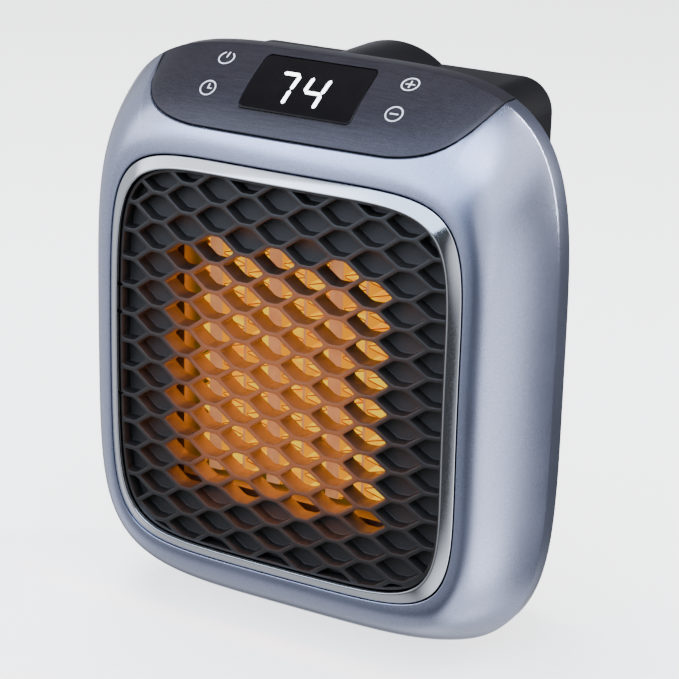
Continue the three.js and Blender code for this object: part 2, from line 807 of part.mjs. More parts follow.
// Pan-head screw driven towards the wall, or towards the front
function screw(x, z, seat, length, towardsFront) {
  const way = towardsFront ? -1 : 1;
  const profile = [
    [0, seat - way * screwHeadHeight],
    [screwHeadRadius, seat - way * screwHeadHeight],
    [screwHeadRadius, seat],
    [screwRadius, seat],
    [screwRadius, seat + way * length],
    [0, seat + way * length],
  ];
  return turned(towardsFront ? profile.reverse() : profile, x, z, 8);
}

copies('motor_screw', motorScrewPlaces.map((x) =>
  screw(x, 0, spiderFront - gap, motorScrewLength, false)), steel);

// Rear housing: a spigot inside the shell's band, a dished cover, the box and the plug turret
function dishLoops(startInset, run, front, depth, steps) {
  return Array.from({ length: steps + 1 }, (_, i) => {
    const turn = (Math.PI / 2) * (i / steps);
    return atDepth(crestOutline(startInset + run * (1 - Math.cos(turn))), front + depth * Math.sin(turn));
  });
}

const dishFront = shellDepth + gap;
const spigotInset = shellWall + gap;
const spigot = straight(crestOutline(spigotInset), spigotFront, dishFront + cutOverrun);
const dish = loft(dishLoops(dishSetback, dishRun, dishFront, dishDepth, dishSteps), false);
const boxLoop = (inset) => roundedRectangle(
  housingHalfWidth - inset,
  housingTop - inset,
  housingBottom - inset,
  housingCorner - inset,
).getPoints(4).slice(0, -1);
const box = loft(
  [
    atDepth(boxLoop(0), dishFront + cutOverrun),
    atDepth(boxLoop(0), housingDepth - housingEdge),
    atDepth(boxLoop(housingEdge / 3), housingDepth - housingEdge / 3),
    atDepth(boxLoop(housingEdge), housingDepth),
  ],
  false,
);
const turretFront = dishFloor;
const turret = turned(
  [
    [0, turretFront],
    [turretRadius, turretFront],
    [turretRadius, housingDepth - housingEdge],
    [turretRadius - housingEdge / 3, housingDepth - housingEdge / 3],
    [turretRadius - housingEdge, housingDepth],
    [0, housingDepth],
  ],
  0, turretHeight, 48,
);

const cavityInset = spigotInset + housingWall;
const cavity = joined([
  loft(
    [
      atDepth(crestOutline(cavityInset), spigotFront - cutOverrun),
      ...dishLoops(cavityInset, dishRun - housingWall, dishFront, dishDepth - housingWall, 2),
    ],
    false,
  ),
  loft([atDepth(boxLoop(housingWall), dishFront), atDepth(boxLoop(housingWall), backInside)], false),
  disc(turretRadius - housingWall, turretFront + housingWall, backInside - turretFront - housingWall,
    0, turretHeight, 36),
]);

const postPlaces = [
  [-mainBoardHalfWidth + postInset, mainBoardHigh - postInset],
  [mainBoardHalfWidth - postInset, mainBoardLow + postInset],
];
const mainBoardBack = mainBoardFront + boardThickness;
const posts = postPlaces.map(([x, z]) =>
  disc(postRadius, mainBoardBack + gap, backInside + housingWall / 2 - mainBoardBack - gap, x, z, 8));
const retainerBack = retainerFront + retainerThickness;
const retainerPlaces = [-retainerScrewReach, retainerScrewReach];
const retainerPosts = retainerPlaces.map((x) =>
  disc(postRadius, retainerBack + gap, backInside + housingWall / 2 - retainerBack - gap,
    x, turretHeight, 8));
const shellBosses = shellScrewPlaces.map(([x, z]) =>
  disc(shellBossRadius, spigotFront, dishFloor - housingWall / 2 - spigotFront, x, z, 10));

const plugHole = disc(plugRadius + plugRunClearance, backInside - cutOverrun, housingWall + 2 * cutOverrun,
  0, turretHeight, 36);
const headSeat = spigotFront + shellBossFloor;
const postBores = [
  ...postPlaces.map(([x, z]) => disc(screwRadius + gap, mainBoardBack - cutOverrun,
    boardScrewLength + cutOverrun + gap, x, z, 8)),
  ...retainerPlaces.map((x) => disc(screwRadius + gap, retainerBack - cutOverrun,
    retainerScrewLength + cutOverrun + gap, x, turretHeight, 8)),
];
const shellScrewHoles = shellScrewPlaces.flatMap(([x, z]) => [
  disc(screwRadius + gap, spigotFront - cutOverrun, shellBossFloor + 2 * cutOverrun, x, z, 8),
  disc(screwHeadRadius + gap, headSeat, dishFloor - headSeat + cutOverrun, x, z, 8),
]);
const switchOpening = block(
  2 * (housingWall + cutOverrun),
  switchWidth + 2 * gap,
  switchLength + 2 * gap,
  -housingHalfWidth,
  switchDepth - switchWidth / 2 - gap,
  switchHeight,
);

const intakeCentre = housingDepth - housingWall / 2;
const intakeBars = Array.from({ length: intakeSlots }, (_, i) => {
  const z = (i - (intakeSlots - 1) / 2) * slotPitch;
  const half = Math.sqrt(intakeRadius ** 2 - z ** 2) - intakeRib / 2;
  return [-1, 1].map((side) => block(half, 2 * housingWall, slotHeight, side * (intakeRib + half) / 2,
    intakeCentre - housingWall, z));
}).flat();
const sideSlotFront = dishFloor + slotPitch;
const sideSlots = Array.from({ length: sideSlotCount }, (_, i) =>
  block(2 * (housingHalfWidth + cutOverrun), sideSlotLength, slotHeight, 0, sideSlotFront,
    sideSlotBase + i * slotPitch));

const openings = joined([...intakeBars, plugHole, ...postBores, ...shellScrewHoles, switchOpening]);
const slots = joined(sideSlots).subtract(solidOf(block(
  2 * (housingHalfWidth - 2 * housingWall), housingDepth, 2 * housingTop, 0, 0, 0)));
const rearHousing = joined([spigot, dish, box, turret])
  .subtract(cavity)
  .add(joined([...posts, ...retainerPosts, ...shellBosses]))
  .subtract(openings)
  .subtract(slots);
piece('rear_housing', rearHousing, housingBlack);
copies('housing_screw', shellScrewPlaces.map(([x, z]) =>
  screw(x, z, headSeat + gap, shellBossFloor + shellScrewLength - gap, true)), steel);

// Mains plug: a flanged disc that turns in the turret, its two blades and their slip rings
const plugBody = solidOf(turned(
  [
    [0, flangeFront],
    [retainerRadius, flangeFront],
    [retainerRadius, flangeBack],
    [plugRadius, flangeBack],
    [plugRadius, outletDepth - plugEdge],
    [plugRadius - plugEdge, outletDepth],
    [0, outletDepth],
  ],
  0, turretHeight, 36,
));
const plugBlades = [
  ['live_blade', -bladeSpacing / 2, liveBladeWidth],
  ['neutral_blade', bladeSpacing / 2, neutralBladeWidth],
];
const bladeSlots = joined(plugBlades.map(([, x, width]) => block(
  plugBladeThickness + 2 * gap,
  outletDepth - flangeFront + 2 * cutOverrun,
  width + 2 * gap,
  x,
  flangeFront - cutOverrun,
  turretHeight,
)));
piece('plug_disc', plugBody.subtract(bladeSlots), housingBlack);

for (const [name, x, width] of plugBlades) {
  const end = outletDepth + plugBladeLength;
  const outline = new THREE.Shape([
    new THREE.Vector2(-width / 2, flangeFront),
    new THREE.Vector2(width / 2, flangeFront),
    new THREE.Vector2(width / 2, end - plugBladeNose),
    new THREE.Vector2(width / 2 - plugBladeNose, end),
    new THREE.Vector2(-width / 2 + plugBladeNose, end),
    new THREE.Vector2(-width / 2, end - plugBladeNose),
  ]);
  const geometry = new THREE.ExtrudeGeometry(outline, { depth: plugBladeThickness, bevelEnabled: false });
  geometry.rotateY(-Math.PI / 2);
  geometry.translate(x + plugBladeThickness / 2, 0, turretHeight);
  piece(name, geometry, brass);
}

const slipRings = [['outer_slip_ring', outerRingRadius], ['inner_slip_ring', innerRingRadius]];
for (const [name, radius] of slipRings) {
  const ring = collar(radius - slipRingWidth, radius, slipRingFront, slipRingThickness, 0, turretHeight, 18);
  piece(name, ring, brass);
}

// Retainer that keeps the plug's flange against the turret, with the wipers that touch the slip rings
const earLength = 2 * retainerScrewReach;
const retainerBody = joined([
  disc(retainerRadius, retainerFront, retainerThickness, 0, turretHeight, 24),
  collar(retainerRadius - retainerRim, retainerRadius, retainerFront, flangeFront - gap - retainerFront,
    0, turretHeight, 24),
  block(earLength, retainerThickness, 2 * retainerEarRadius, 0, retainerFront, turretHeight),
  ...retainerPlaces.map((x) =>
    disc(retainerEarRadius, retainerFront, retainerThickness, x, turretHeight, 10)),
]);
const wipers = [[1, outerRingRadius], [-1, innerRingRadius]].map(([side, radius]) => ({
  x: side * (radius - slipRingWidth / 2),
  legHeight: turretHeight + side * (wiperLength - wiperThickness) / 2,
}));
const retainerHoles = joined([
  disc(retainerBore, retainerFront - cutOverrun, retainerThickness + 2 * cutOverrun, 0, turretHeight, 12),
  ...retainerPlaces.map((x) => disc(screwRadius + gap, retainerFront - cutOverrun,
    retainerThickness + 2 * cutOverrun, x, turretHeight, 8)),
  ...wipers.map(({ x, legHeight }) => block(wiperWidth + 2 * gap, retainerThickness + 2 * cutOverrun,
    wiperThickness + 2 * gap, x, retainerFront - cutOverrun, legHeight)),
]);
piece('plug_retainer', retainerBody.subtract(retainerHoles), paleNylon);
copies('retainer_screw', retainerPlaces.map((x) =>
  screw(x, turretHeight, retainerFront - gap, retainerThickness + retainerScrewLength, false)), steel);
copies('contact_wiper', wipers.map(({ x, legHeight }) => joined([
  block(wiperWidth, wiperThickness, wiperLength, x, wiperFront, turretHeight),
  block(wiperWidth, wiperFront + wiperThickness - mainBoardBack - gap, wiperThickness, x,
    mainBoardBack + gap, legHeight),
])), brass);

// Mains board on its four posts, with its parts on the side away from the wall
const mainBoardHoles = joined(postPlaces.map(([x, z]) =>
  disc(screwRadius + gap, mainBoardFront - cutOverrun, boardThickness + 2 * cutOverrun, x, z, 8)));
const mainBoardBody = solidOf(block(
  2 * mainBoardHalfWidth,
  boardThickness,
  mainBoardHigh - mainBoardLow,
  0,
  mainBoardFront,
  (mainBoardLow + mainBoardHigh) / 2,
));
piece('main_board', mainBoardBody.subtract(mainBoardHoles), boardGreen);
copies('board_screw', postPlaces.map(([x, z]) =>
  screw(x, z, mainBoardFront - gap, boardThickness + boardScrewLength, false)), steel);

const onBoard = (width, depth, height, x, z) =>
  block(width, depth, height, x, mainBoardFront - gap - depth, z);
const relayCentre = mainBoardHigh - relayDrop;
const terminalBlockCentre = mainBoardLow + terminalBlockRise;
piece('relay', onBoard(relayWidth, relayDepth, relayHeight, mainBoardHalfWidth - relayInset, relayCentre),
  housingBlack);
piece('filter_capacitor', onBoard(capacitorWidth, capacitorDepth, capacitorHeight,
  capacitorInset - mainBoardHalfWidth, relayCentre), paleNylon);
piece('terminal_block',
  onBoard(terminalBlockWidth, terminalBlockDepth, terminalBlockHeight, 0, terminalBlockCentre), paleNylon);

// Display and touch electronics, laid parallel to the slope of the display window
const windowFoot = rollPoint(windowLow);
const windowHead = rollPoint(windowHigh);
const slopeAngle = Math.atan2(windowHead.y - windowFoot.y, windowHead.x - windowFoot.x);

function behindWindow(geometry, inset) {
  geometry.translate(0, inset, 0);
  geometry.rotateX(slopeAngle - Math.PI / 2);
  return geometry.translate(0, (windowFoot.x + windowHead.x) / 2, (windowFoot.y + windowHead.y) / 2);
}

const controlBoardInset = displayInset + displayThickness + gap;
piece('display_module', behindWindow(
  block(displayWidth, displayThickness, displayHeight, 0, 0, 0),
  displayInset,
), darkGlass);
piece('control_board', behindWindow(
  block(2 * (keyReach + controlBoardMargin), boardThickness, controlBoardHeight, 0, 0, 0),
  controlBoardInset,
), boardGreen);
copies('touch_pad', [-1, 1].flatMap((side) => [-1, 1].map((level) => behindWindow(
  disc(keyPadRadius, 0, displayThickness, side * keyReach, (level * keyPitch) / 2, 10),
  displayInset,
))), steel);

// Rocker switch: bezel clipped into the side wall, and its rocker on two pins
const switchFace = -housingHalfWidth;
const bezelBody = joined([
  block(
    switchProud,
    switchWidth + 2 * switchFlange,
    switchLength + 2 * switchFlange,
    switchFace - gap - switchProud / 2,
    switchDepth - switchWidth / 2 - switchFlange,
    switchHeight,
  ),
  block(
    switchBody + gap + switchProud / 2,
    switchWidth,
    switchLength,
    switchFace + (switchBody - gap - switchProud / 2) / 2,
    switchDepth - switchWidth / 2,
    switchHeight,
  ),
]);
const bezelWell = block(
  switchBody - switchWall + gap + switchProud + cutOverrun,
  switchWidth - 2 * switchWall,
  switchLength - 2 * switchWall,
  switchFace + (switchBody - switchWall - gap - switchProud - cutOverrun) / 2,
  switchDepth - switchWidth / 2 + switchWall,
  switchHeight,
);
const pinHole = disc(
  rockerPin + gap,
  switchDepth - switchWidth / 2 - cutOverrun,
  switchWidth + 2 * cutOverrun,
  switchFace,
  switchHeight,
  10,
);
piece('switch_bezel', bezelBody.subtract(joined([bezelWell, pinHole])), housingBlack);

const rockerWidth = switchWidth - 2 * switchWall - 2 * rockerClearance;
const rockerHalfLength = switchLength / 2 - switchWall - rockerEndClearance;
const rockerShape = new THREE.Shape([
  new THREE.Vector2(rockerSkirt, -rockerHalfLength + rockerPin),
  new THREE.Vector2(rockerSkirt, rockerHalfLength - rockerPin),
  new THREE.Vector2(-rockerRise, rockerHalfLength),
  new THREE.Vector2(-rockerValley, 0),
  new THREE.Vector2(-rockerRise, -rockerHalfLength),
]);
const pinLength = rockerWidth + 2 * rockerClearance + switchWall;
const rocker = joined([
  plate(rockerShape, -rockerWidth / 2, rockerWidth),
  disc(rockerPin, -pinLength / 2, pinLength, 0, 0, 10),
]).rotate([0, rockerTilt, 0]).translate([switchFace, switchDepth, switchHeight]);
piece('power_rocker', rocker, housingBlack);

// Leads
function swept(points, shape, steps) {
  const path = new THREE.CatmullRomCurve3(points.map((point) => new THREE.Vector3(...point)));
  return new THREE.ExtrudeGeometry(shape, { steps, bevelEnabled: false, extrudePath: path });
}

const leadShape = new THREE.Shape(Array.from({ length: leadSides }, (_, i) => {
  const angle = (2 * Math.PI * i) / leadSides;
  return new THREE.Vector2(leadRadius * Math.cos(angle), leadRadius * Math.sin(angle));
}));
const lead = (points) => swept(points, leadShape, leadSteps);

const tabTop = frameTop + terminalLength + gap;
const blockFace = mainBoardFront - gap - terminalBlockDepth - gap;
copies('element_lead', [-1, 1].map((side) => lead([
  [side * terminalReach, elementMiddle + terminalThickness / 2, tabTop],
  [side * terminalReach, elementMiddle + terminalThickness / 2, tabTop + leadSpread / 2],
  [side * (terminalReach - leadSpread), elementMiddle + 2 * leadSpread, tabTop + leadSpread],
  [side * leadSpread * 2, blockFace - leadSpread, terminalBlockCentre],
  [side * leadSpread * 2, blockFace, terminalBlockCentre],
])), leadRed);

const boardMiddle = mainBoardFront + boardThickness / 2;
copies('motor_lead', [-1, 1].map((side) => lead([
  [side * leadSpread, motorBack - leadSpread, motorRadius + gap],
  [side * leadSpread, motorBack - leadSpread, motorRadius + gap + leadSpread],
  [side * leadSpread, boardMiddle + leadSpread, mainBoardLow - 3 * leadSpread],
  [side * leadSpread, boardMiddle, mainBoardLow - gap - leadRadius],
  [side * leadSpread, boardMiddle, mainBoardLow - gap],
])), leadRed);

const switchBack = switchFace + switchBody + gap;
copies('switch_lead', [-1, 1].map((side) => lead([
  [switchBack, switchDepth, switchHeight + side * leadSpread],
  [switchBack + leadSpread, switchDepth, switchHeight + side * leadSpread],
  [switchBack + 2 * leadSpread - side * leadSpread, switchDepth, switchHeight + 4 * leadSpread],
  [switchBack + 2 * leadSpread - side * leadSpread, boardMiddle, mainBoardLow - 2 * leadSpread],
  [switchBack + 2 * leadSpread - side * leadSpread, boardMiddle, mainBoardLow - gap],
])), leadRed);

export default heater;
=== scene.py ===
from math import atan2, copysign, cos, pi, radians, sin, sqrt, tan

import bmesh
import bpy
from mathutils import Matrix, Vector


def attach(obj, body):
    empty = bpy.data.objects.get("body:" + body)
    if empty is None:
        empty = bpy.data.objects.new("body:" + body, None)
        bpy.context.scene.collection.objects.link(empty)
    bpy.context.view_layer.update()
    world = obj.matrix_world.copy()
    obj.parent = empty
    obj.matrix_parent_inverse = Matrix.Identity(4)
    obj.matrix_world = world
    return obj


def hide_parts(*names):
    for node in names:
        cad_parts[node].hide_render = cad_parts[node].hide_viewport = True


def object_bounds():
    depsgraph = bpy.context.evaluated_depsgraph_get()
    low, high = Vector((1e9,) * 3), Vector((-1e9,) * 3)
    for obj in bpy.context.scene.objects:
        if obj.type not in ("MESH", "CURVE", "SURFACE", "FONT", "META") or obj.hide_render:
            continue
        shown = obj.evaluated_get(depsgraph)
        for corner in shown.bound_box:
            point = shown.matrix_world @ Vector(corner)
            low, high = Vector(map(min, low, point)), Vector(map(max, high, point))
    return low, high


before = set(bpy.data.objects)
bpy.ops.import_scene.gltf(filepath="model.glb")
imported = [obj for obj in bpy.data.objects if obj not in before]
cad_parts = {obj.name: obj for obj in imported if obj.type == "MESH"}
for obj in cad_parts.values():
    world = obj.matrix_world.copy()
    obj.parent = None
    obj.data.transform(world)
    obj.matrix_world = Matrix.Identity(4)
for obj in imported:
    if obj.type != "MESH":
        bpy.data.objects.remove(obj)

cad_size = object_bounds()

# ------------------------------------------------------------------ Front shell
# One injection moulding in ABS, sprayed with a fine silver lacquer. It rolls back from the
# grille's opening to a sharp crest, then runs straight back as a side band. Its top is cut away
# for the control panel, and four screws hold it from behind.
outlet_depth = 62
turret_height = 53.8
ring_half_width = 50
ring_half_height = 52.6
ring_exponent = 6
opening_gap = 0.35
mouth_radius = 0.3
mouth_wall = 3
crest_half_width = 64.8
crest_top = 77.5
crest_bottom = 71
crest_exponent = 4.4
crest_radius = 0.45
roll_depth_back = 20.2
roll_exponent = 2.3
roll_steps = 26
face_bow = 1.7
band_run = 5.5
band_run_at_panel = 2.0
band_bend = 0.3
band_lip = 1.4
panel_tip = (48.4, 72.6)
panel_edge_height = 60.1
panel_knee = (34, 61)
panel_cut_clearance = 0.15
backwards = Vector((0, 1, 0))


def place(point):
    """A point of the heater's drawing, in mm from the centre of the bright ring, in the frame."""
    x, depth, height = point
    return Vector((x, depth - outlet_depth, height - turret_height)) / 1000


def squared(angle, half_width, top, bottom, exponent):
    """A point of a squared-off ellipse seen from the front."""
    x = half_width * copysign(abs(cos(angle)) ** (2 / exponent), cos(angle))
    z = (top + bottom) / 2 * copysign(abs(sin(angle)) ** (2 / exponent), sin(angle))
    return x, (top - bottom) / 2 + z


def ring_line(angle, inset=0.0):
    """A point of the bright ring's outline, drawn in by an inset."""
    half_height = ring_half_height - inset
    return squared(angle, ring_half_width - inset, half_height, half_height, ring_exponent)


def crest_line(angle, inset=0.0):
    """A point of the crest, drawn in by an inset."""
    return squared(angle, crest_half_width - inset, crest_top - inset, crest_bottom - inset,
                   crest_exponent)


def bow(x, z):
    """How far the bowed face stands forward at a point of the opening."""
    return -face_bow * (2 - (x / ring_half_width) ** 2 - (z / ring_half_height) ** 2)


def roll(angle, share):
    """A point of the rolled face, from the opening (share 0) to the crest (share 1)."""
    start, end = ring_line(angle, -opening_gap), crest_line(angle)
    depth = roll_depth_back * max(share, 0) ** roll_exponent + bow(*ring_line(angle)) * (1 - share)
    return Vector((start[0] + (end[0] - start[0]) * share, depth,
                   start[1] + (end[1] - start[1]) * share))


def pace(angle, share):
    """Millimetres along the roll for one whole share, measured just before a point."""
    return (roll(angle, share) - roll(angle, share - 0.01)).length / 0.01


def outwards(angle):
    """The level direction from the opening to the crest."""
    way = roll(angle, 1) - roll(angle, 0)
    way.y = 0
    return way.normalized()


def even_angles(line, count):
    """Directions that stand evenly along an outline."""
    steps = 7200
    points = [Vector(line(2 * pi * i / steps)) for i in range(steps + 1)]
    reach = [0.0]
    for near, far in zip(points, points[1:]):
        reach.append(reach[-1] + (far - near).length)
    angles, step = [], 0
    for i in range(count):
        while reach[step + 1] <= reach[-1] * i / count:
            step += 1
        part = (reach[-1] * i / count - reach[step]) / (reach[step + 1] - reach[step])
        angles.append(2 * pi * (step + part) / steps)
    return angles


def rounded(before, corner, after, steps=4):
    """A moulded edge: the corner eased into a short curve."""
    return [before.lerp(corner, i / steps).lerp(corner.lerp(after, i / steps), i / steps)
            for i in range(steps + 1)]


def panel_edge(grow):
    """The panel's lower edge from the middle to its right tip, moved outwards by grow."""
    corner_run = (panel_tip[0] - panel_knee[0]) / 2
    knots = [Vector((panel_knee[0] - corner_run, panel_edge_height)),
             Vector((panel_knee[0] + corner_run, panel_knee[1])),
             Vector((panel_tip[0] - corner_run / 2, panel_tip[1] - corner_run)), Vector(panel_tip)]
    line = [Vector((0, panel_edge_height))]
    for t in (i / 40 for i in range(41)):
        line.append(knots[0] * (1 - t) ** 3 + knots[1] * 3 * t * (1 - t) ** 2
                    + knots[2] * 3 * t * t * (1 - t) + knots[3] * t ** 3)
    moved = []
    for i, point in enumerate(line):
        run = (line[min(i + 1, len(line) - 1)] - line[max(i - 1, 0)]).normalized()
        moved.append(point + Vector((run.y, -run.x)) * grow)
    return moved


def in_panel(x, z, edge):
    """Whether a point seen from the front lies on the panel's side of its lower edge."""
    x = abs(x)
    for near, far in zip(edge, edge[1:]):
        if near.x <= x <= far.x:
            return z > near.y + (far.y - near.y) * (x - near.x) / max(far.x - near.x, 1e-9)
    return False


def first_in_panel(point_at, edge, high):
    """How far along a line its points come to lie in the panel, to a hair."""
    low = 0.0
    for _ in range(34):
        middle = (low + high) / 2
        low, high = (low, middle) if in_panel(*point_at(middle), edge) else (middle, high)
    return high


def share_at_panel(angle, edge):
    """The share of the roll at which it meets the panel, or 1 where it doesn't."""
    if not in_panel(*crest_line(angle), edge):
        return 1.0
    return first_in_panel(lambda share: roll(angle, share).xz, edge, 1.0)


def sewn(mesh, rows, lids=(True, True), looped=False):
    """Adds rows of points to a mesh, each row closed on itself and joined to the next."""
    points = [[mesh.verts.new(place(point)) for point in row] for row in rows]
    for near, far in zip(points, points[1:] + points[:looped]):
        for i in range(len(near)):
            j = (i + 1) % len(near)
            mesh.faces.new((near[i], near[j], far[j], far[i]))
    for wanted, row in zip(lids, (points[0], points[-1])):
        if wanted:
            mesh.faces.new(row)


def set_up(name, data, sharp):
    """Stands a mesh in the scene, with smooth faces and crisp edges."""
    data.shade_smooth()
    data.set_sharp_from_angle(angle=radians(sharp))
    piece = bpy.data.objects.new(name, data)
    bpy.context.scene.collection.objects.link(piece)
    return piece


def made(name, mesh, sharp=28):
    """Turns a finished mesh into a piece."""
    bmesh.ops.recalc_face_normals(mesh, faces=mesh.faces)
    data = bpy.data.meshes.new(name)
    mesh.to_mesh(data)
    mesh.free()
    return set_up(name, data, sharp)


def skin(name, rows, lids=(False, False), sharp=28):
    """A piece made of rows of points."""
    mesh = bmesh.new()
    sewn(mesh, rows, lids)
    bmesh.ops.remove_doubles(mesh, verts=mesh.verts, dist=1e-7)
    return made(name, mesh, sharp)


def fit(piece, body, slot, *nodes):
    """Hangs a piece on its body and hides the CAD nodes that it stands for."""
    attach(piece, body)
    if nodes:
        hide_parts(*nodes)


def linear(code):
    """A colour given as sRGB hex, in the linear values that the shaders take."""
    shares = [int(code[i:i + 2], 16) / 255 for i in (1, 3, 5)]
    return tuple(s / 12.92 if s <= 0.04045 else ((s + 0.055) / 1.055) ** 2.4
                 for s in shares) + (1.0,)


def wire(tree, kind, *in_order, **named):
    """Adds a node. Inputs come in order, or by name with a capital; the other names are settings.
    An input takes a value, a socket, or the first output of another node."""
    node = tree.nodes.new("ShaderNode" + kind)
    for name in [name for name in named if name.islower()]:
        setattr(node, name, named.pop(name))
    inputs = list(zip(node.inputs, in_order))
    for name, value in named.items():
        title = name.replace("_", " ")
        inputs.append((next(s for s in node.inputs if s.name == title and s.enabled), value))
    for socket, value in inputs:
        if isinstance(value, bpy.types.Node):
            value = next(s for s in value.outputs if s.enabled)
        if isinstance(value, bpy.types.NodeSocket):
            tree.links.new(value, socket)
        else:
            socket.default_value = value
    return node


def finish(name):
    """A new material with an empty node tree, and its own place coordinates in metres."""
    material = bpy.data.materials.new(name)
    material.use_nodes = True
    tree = material.node_tree
    tree.nodes.clear()
    return material, tree, wire(tree, "TexCoord").outputs["Object"]


def dress(piece, material):
    """Puts a material on every slot of a piece."""
    if not piece.material_slots:
        piece.data.materials.append(material)
    for slot in piece.material_slots:
        slot.material = material


def folded_back(edge, run, inwards, bend, lip):
    """The end of a moulding's skin: straight back from its edge, then turned inwards."""
    rear = edge + backwards * run
    return (rounded(rear - backwards * band_bend, rear, rear + inwards * bend, 3)
            + [rear + inwards * lip])


def shell_column(angle, share, run):
    """The skin in one direction: out of the opening, up the roll, over its edge and back."""
    first = mouth_radius / pace(angle, 0.01)
    last = share - crest_radius / pace(angle, share)
    mouth, edge = roll(angle, 0), roll(angle, share)
    column = [mouth + backwards * mouth_wall]
    column += rounded(mouth + backwards * mouth_radius, mouth, roll(angle, first))
    column += [roll(angle, first + (last - first) * i / roll_steps) for i in range(1, roll_steps)]
    column += rounded(roll(angle, last), edge, edge + backwards * crest_radius)
    return column + folded_back(edge, run, -outwards(angle), band_bend, band_lip)


shell_cut = panel_edge(panel_cut_clearance)
shell_tip = first_in_panel(crest_line, shell_cut, pi / 2)
shell_columns = []
for angle in even_angles(crest_line, 300):
    if angle < shell_tip or angle > pi - shell_tip:
        shell_columns.append((angle, 1.0, band_run))
    else:
        shell_columns.append((angle, share_at_panel(angle, shell_cut), band_run_at_panel))
for tip, runs in ((shell_tip, (band_run, band_run_at_panel)),
                  (pi - shell_tip, (band_run_at_panel, band_run))):
    here = sum(column[0] < tip for column in shell_columns)
    shell_columns[here:here] = [(tip, 1.0, run) for run in runs]
front_shell = skin("front_shell_skin", list(zip(*(shell_column(*c) for c in shell_columns))))
fit(front_shell, "housing", "silver_paint", "front_shell")

# Silver lacquer over moulded ABS: metal flake under a thin clear layer. The eye gets a soft, wide
# sheen that swings from pale blue-grey to dark, with a faint sparkle in it.
silver_lacquer, tree, where = finish("silver_lacquer_on_abs")
# Real flake is 0.03 mm across; it is drawn at 0.25 mm so that it shows.
flake = wire(tree, "TexVoronoi", Vector=where, Scale=4000.0)
cloud = wire(tree, "TexNoise", Vector=where, Scale=45.0, Detail=1.0)
tone = wire(tree, "Mix", Factor=flake.outputs["Color"], A=linear("#a2a8c4"), B=linear("#b6bcd5"),
    data_type="RGBA")
sheen = wire(tree, "MapRange", Value=cloud, From_Min=0.3, From_Max=0.7, To_Min=0.24, To_Max=0.3)
orange_peel = wire(tree, "Bump", Height=cloud, Strength=0.03, Distance=0.0004)
wire(tree, "OutputMaterial", Surface=wire(tree, "BsdfPrincipled", Base_Color=tone, Metallic=0.96,
    Roughness=sheen, Normal=orange_peel, Coat_Weight=0.5, Coat_Roughness=0.1, Coat_IOR=1.5))
dress(front_shell, silver_lacquer)

# ------------------------------------------------------------------ Bright ring
# A bezel moulded in ABS and vacuum-chromed, clipped round the grille. Its face falls away outwards
# from a narrow lip at the inner edge, and the edges are crisp.
ring_band = 2.9
ring_rise = 1.5
ring_lip = 0.4
ring_seat = 1.9
ring_edge = 0.16


def eased(profile, radius, steps=3):
    """A profile with its inner corners rounded."""
    points = [Vector(point) for point in profile]
    line = [points[0]]
    for before, corner, after in zip(points, points[1:], points[2:]):
        reach = min(radius, (before - corner).length * 0.45, (after - corner).length * 0.45)
        line += rounded(corner + (before - corner).normalized() * reach, corner,
                        corner + (after - corner).normalized() * reach, steps)
    return line + [points[-1]]


ring_angles = even_angles(ring_line, 360)


def ring_row(inset, depth):
    """A row of the ring's section carried round its bowed outline."""
    outline = [ring_line(angle, inset) for angle in ring_angles]
    return [(x, depth + bow(x, z), z) for x, z in outline]


bright_ring = skin("bright_ring", [ring_row(*point) for point in eased([
    (0, ring_seat), (0, 0), (ring_band - ring_lip, -ring_rise), (ring_band, -ring_rise),
    (ring_band, ring_seat)], ring_edge)], sharp=40)
fit(bright_ring, "housing", "chrome", "chrome_ring")

# Vacuum chrome on ABS: a mirror a shade darker than silver, with the slight waviness of the
# moulding under it and hair-fine rubbing marks, which keep its reflections from being perfect.
vacuum_chrome, tree, where = finish("vacuum_chrome_on_abs")
waviness = wire(tree, "TexNoise", Vector=where, Scale=90.0, Detail=1.0)
rubbing = wire(tree, "TexNoise", Vector=where, Scale=2500.0, Detail=4.0)
rub_tone = wire(tree, "MapRange", Value=rubbing, From_Min=0.35, From_Max=0.75, To_Min=0.07,
    To_Max=0.16)
mirror_bump = wire(tree, "Bump", Height=waviness, Strength=0.04, Distance=0.0005)
wire(tree, "OutputMaterial", Surface=wire(tree, "BsdfPrincipled", Base_Color=linear("#d3d6db"),
    Metallic=1.0, Roughness=rub_tone, Normal=mirror_bump))
dress(bright_ring, vacuum_chrome)

# ------------------------------------------------------------------ Front grille
# One moulding in black glass-filled nylon, domed forward a little. Ribs 1.15 mm wide part long
# hexagonal cells: the middle ones are open to the element, the ones round the border are blind.
cell_pitch_x = 8.82
cell_pitch_z = 7.31
cell_flat = 3.65
cell_rib = 1.15
cell_corner = 0.8
cell_columns = 6
cell_rows = 8
cell_stagger = 0.25
cell_draft = 0.975
rib_edge = 0.22
floor_curve = 0.15
grille_inset = ring_band + opening_gap
grille_rim = 0.6
grille_thickness = 5
grille_skirt = 2.35
grille_edge = 0.1
pocket_depth = 3.5
grille_dome = 1.5
open_columns = 3
open_rows = 4
smallest_tile = 0.02
smallest_mouth = 2.5
shortest_side = 0.6


def domed(x, depth, z):
    """A point of the flat grille after it is bent to the heater's face."""
    dome = grille_dome * (1 - (x / ring_half_width) ** 2) * (1 - (z / ring_half_height) ** 2)
    return x, depth + bow(x, z) - max(dome, 0), z


def hexagon(x, z, half_height, tip, corner):
    """The corners of a long cell round its middle, with a tip at either side."""
    return [Vector((x + right, z + up)) for right, up in (
        (tip, 0), (corner, half_height), (-corner, half_height),
        (-tip, 0), (-corner, -half_height), (corner, -half_height))]


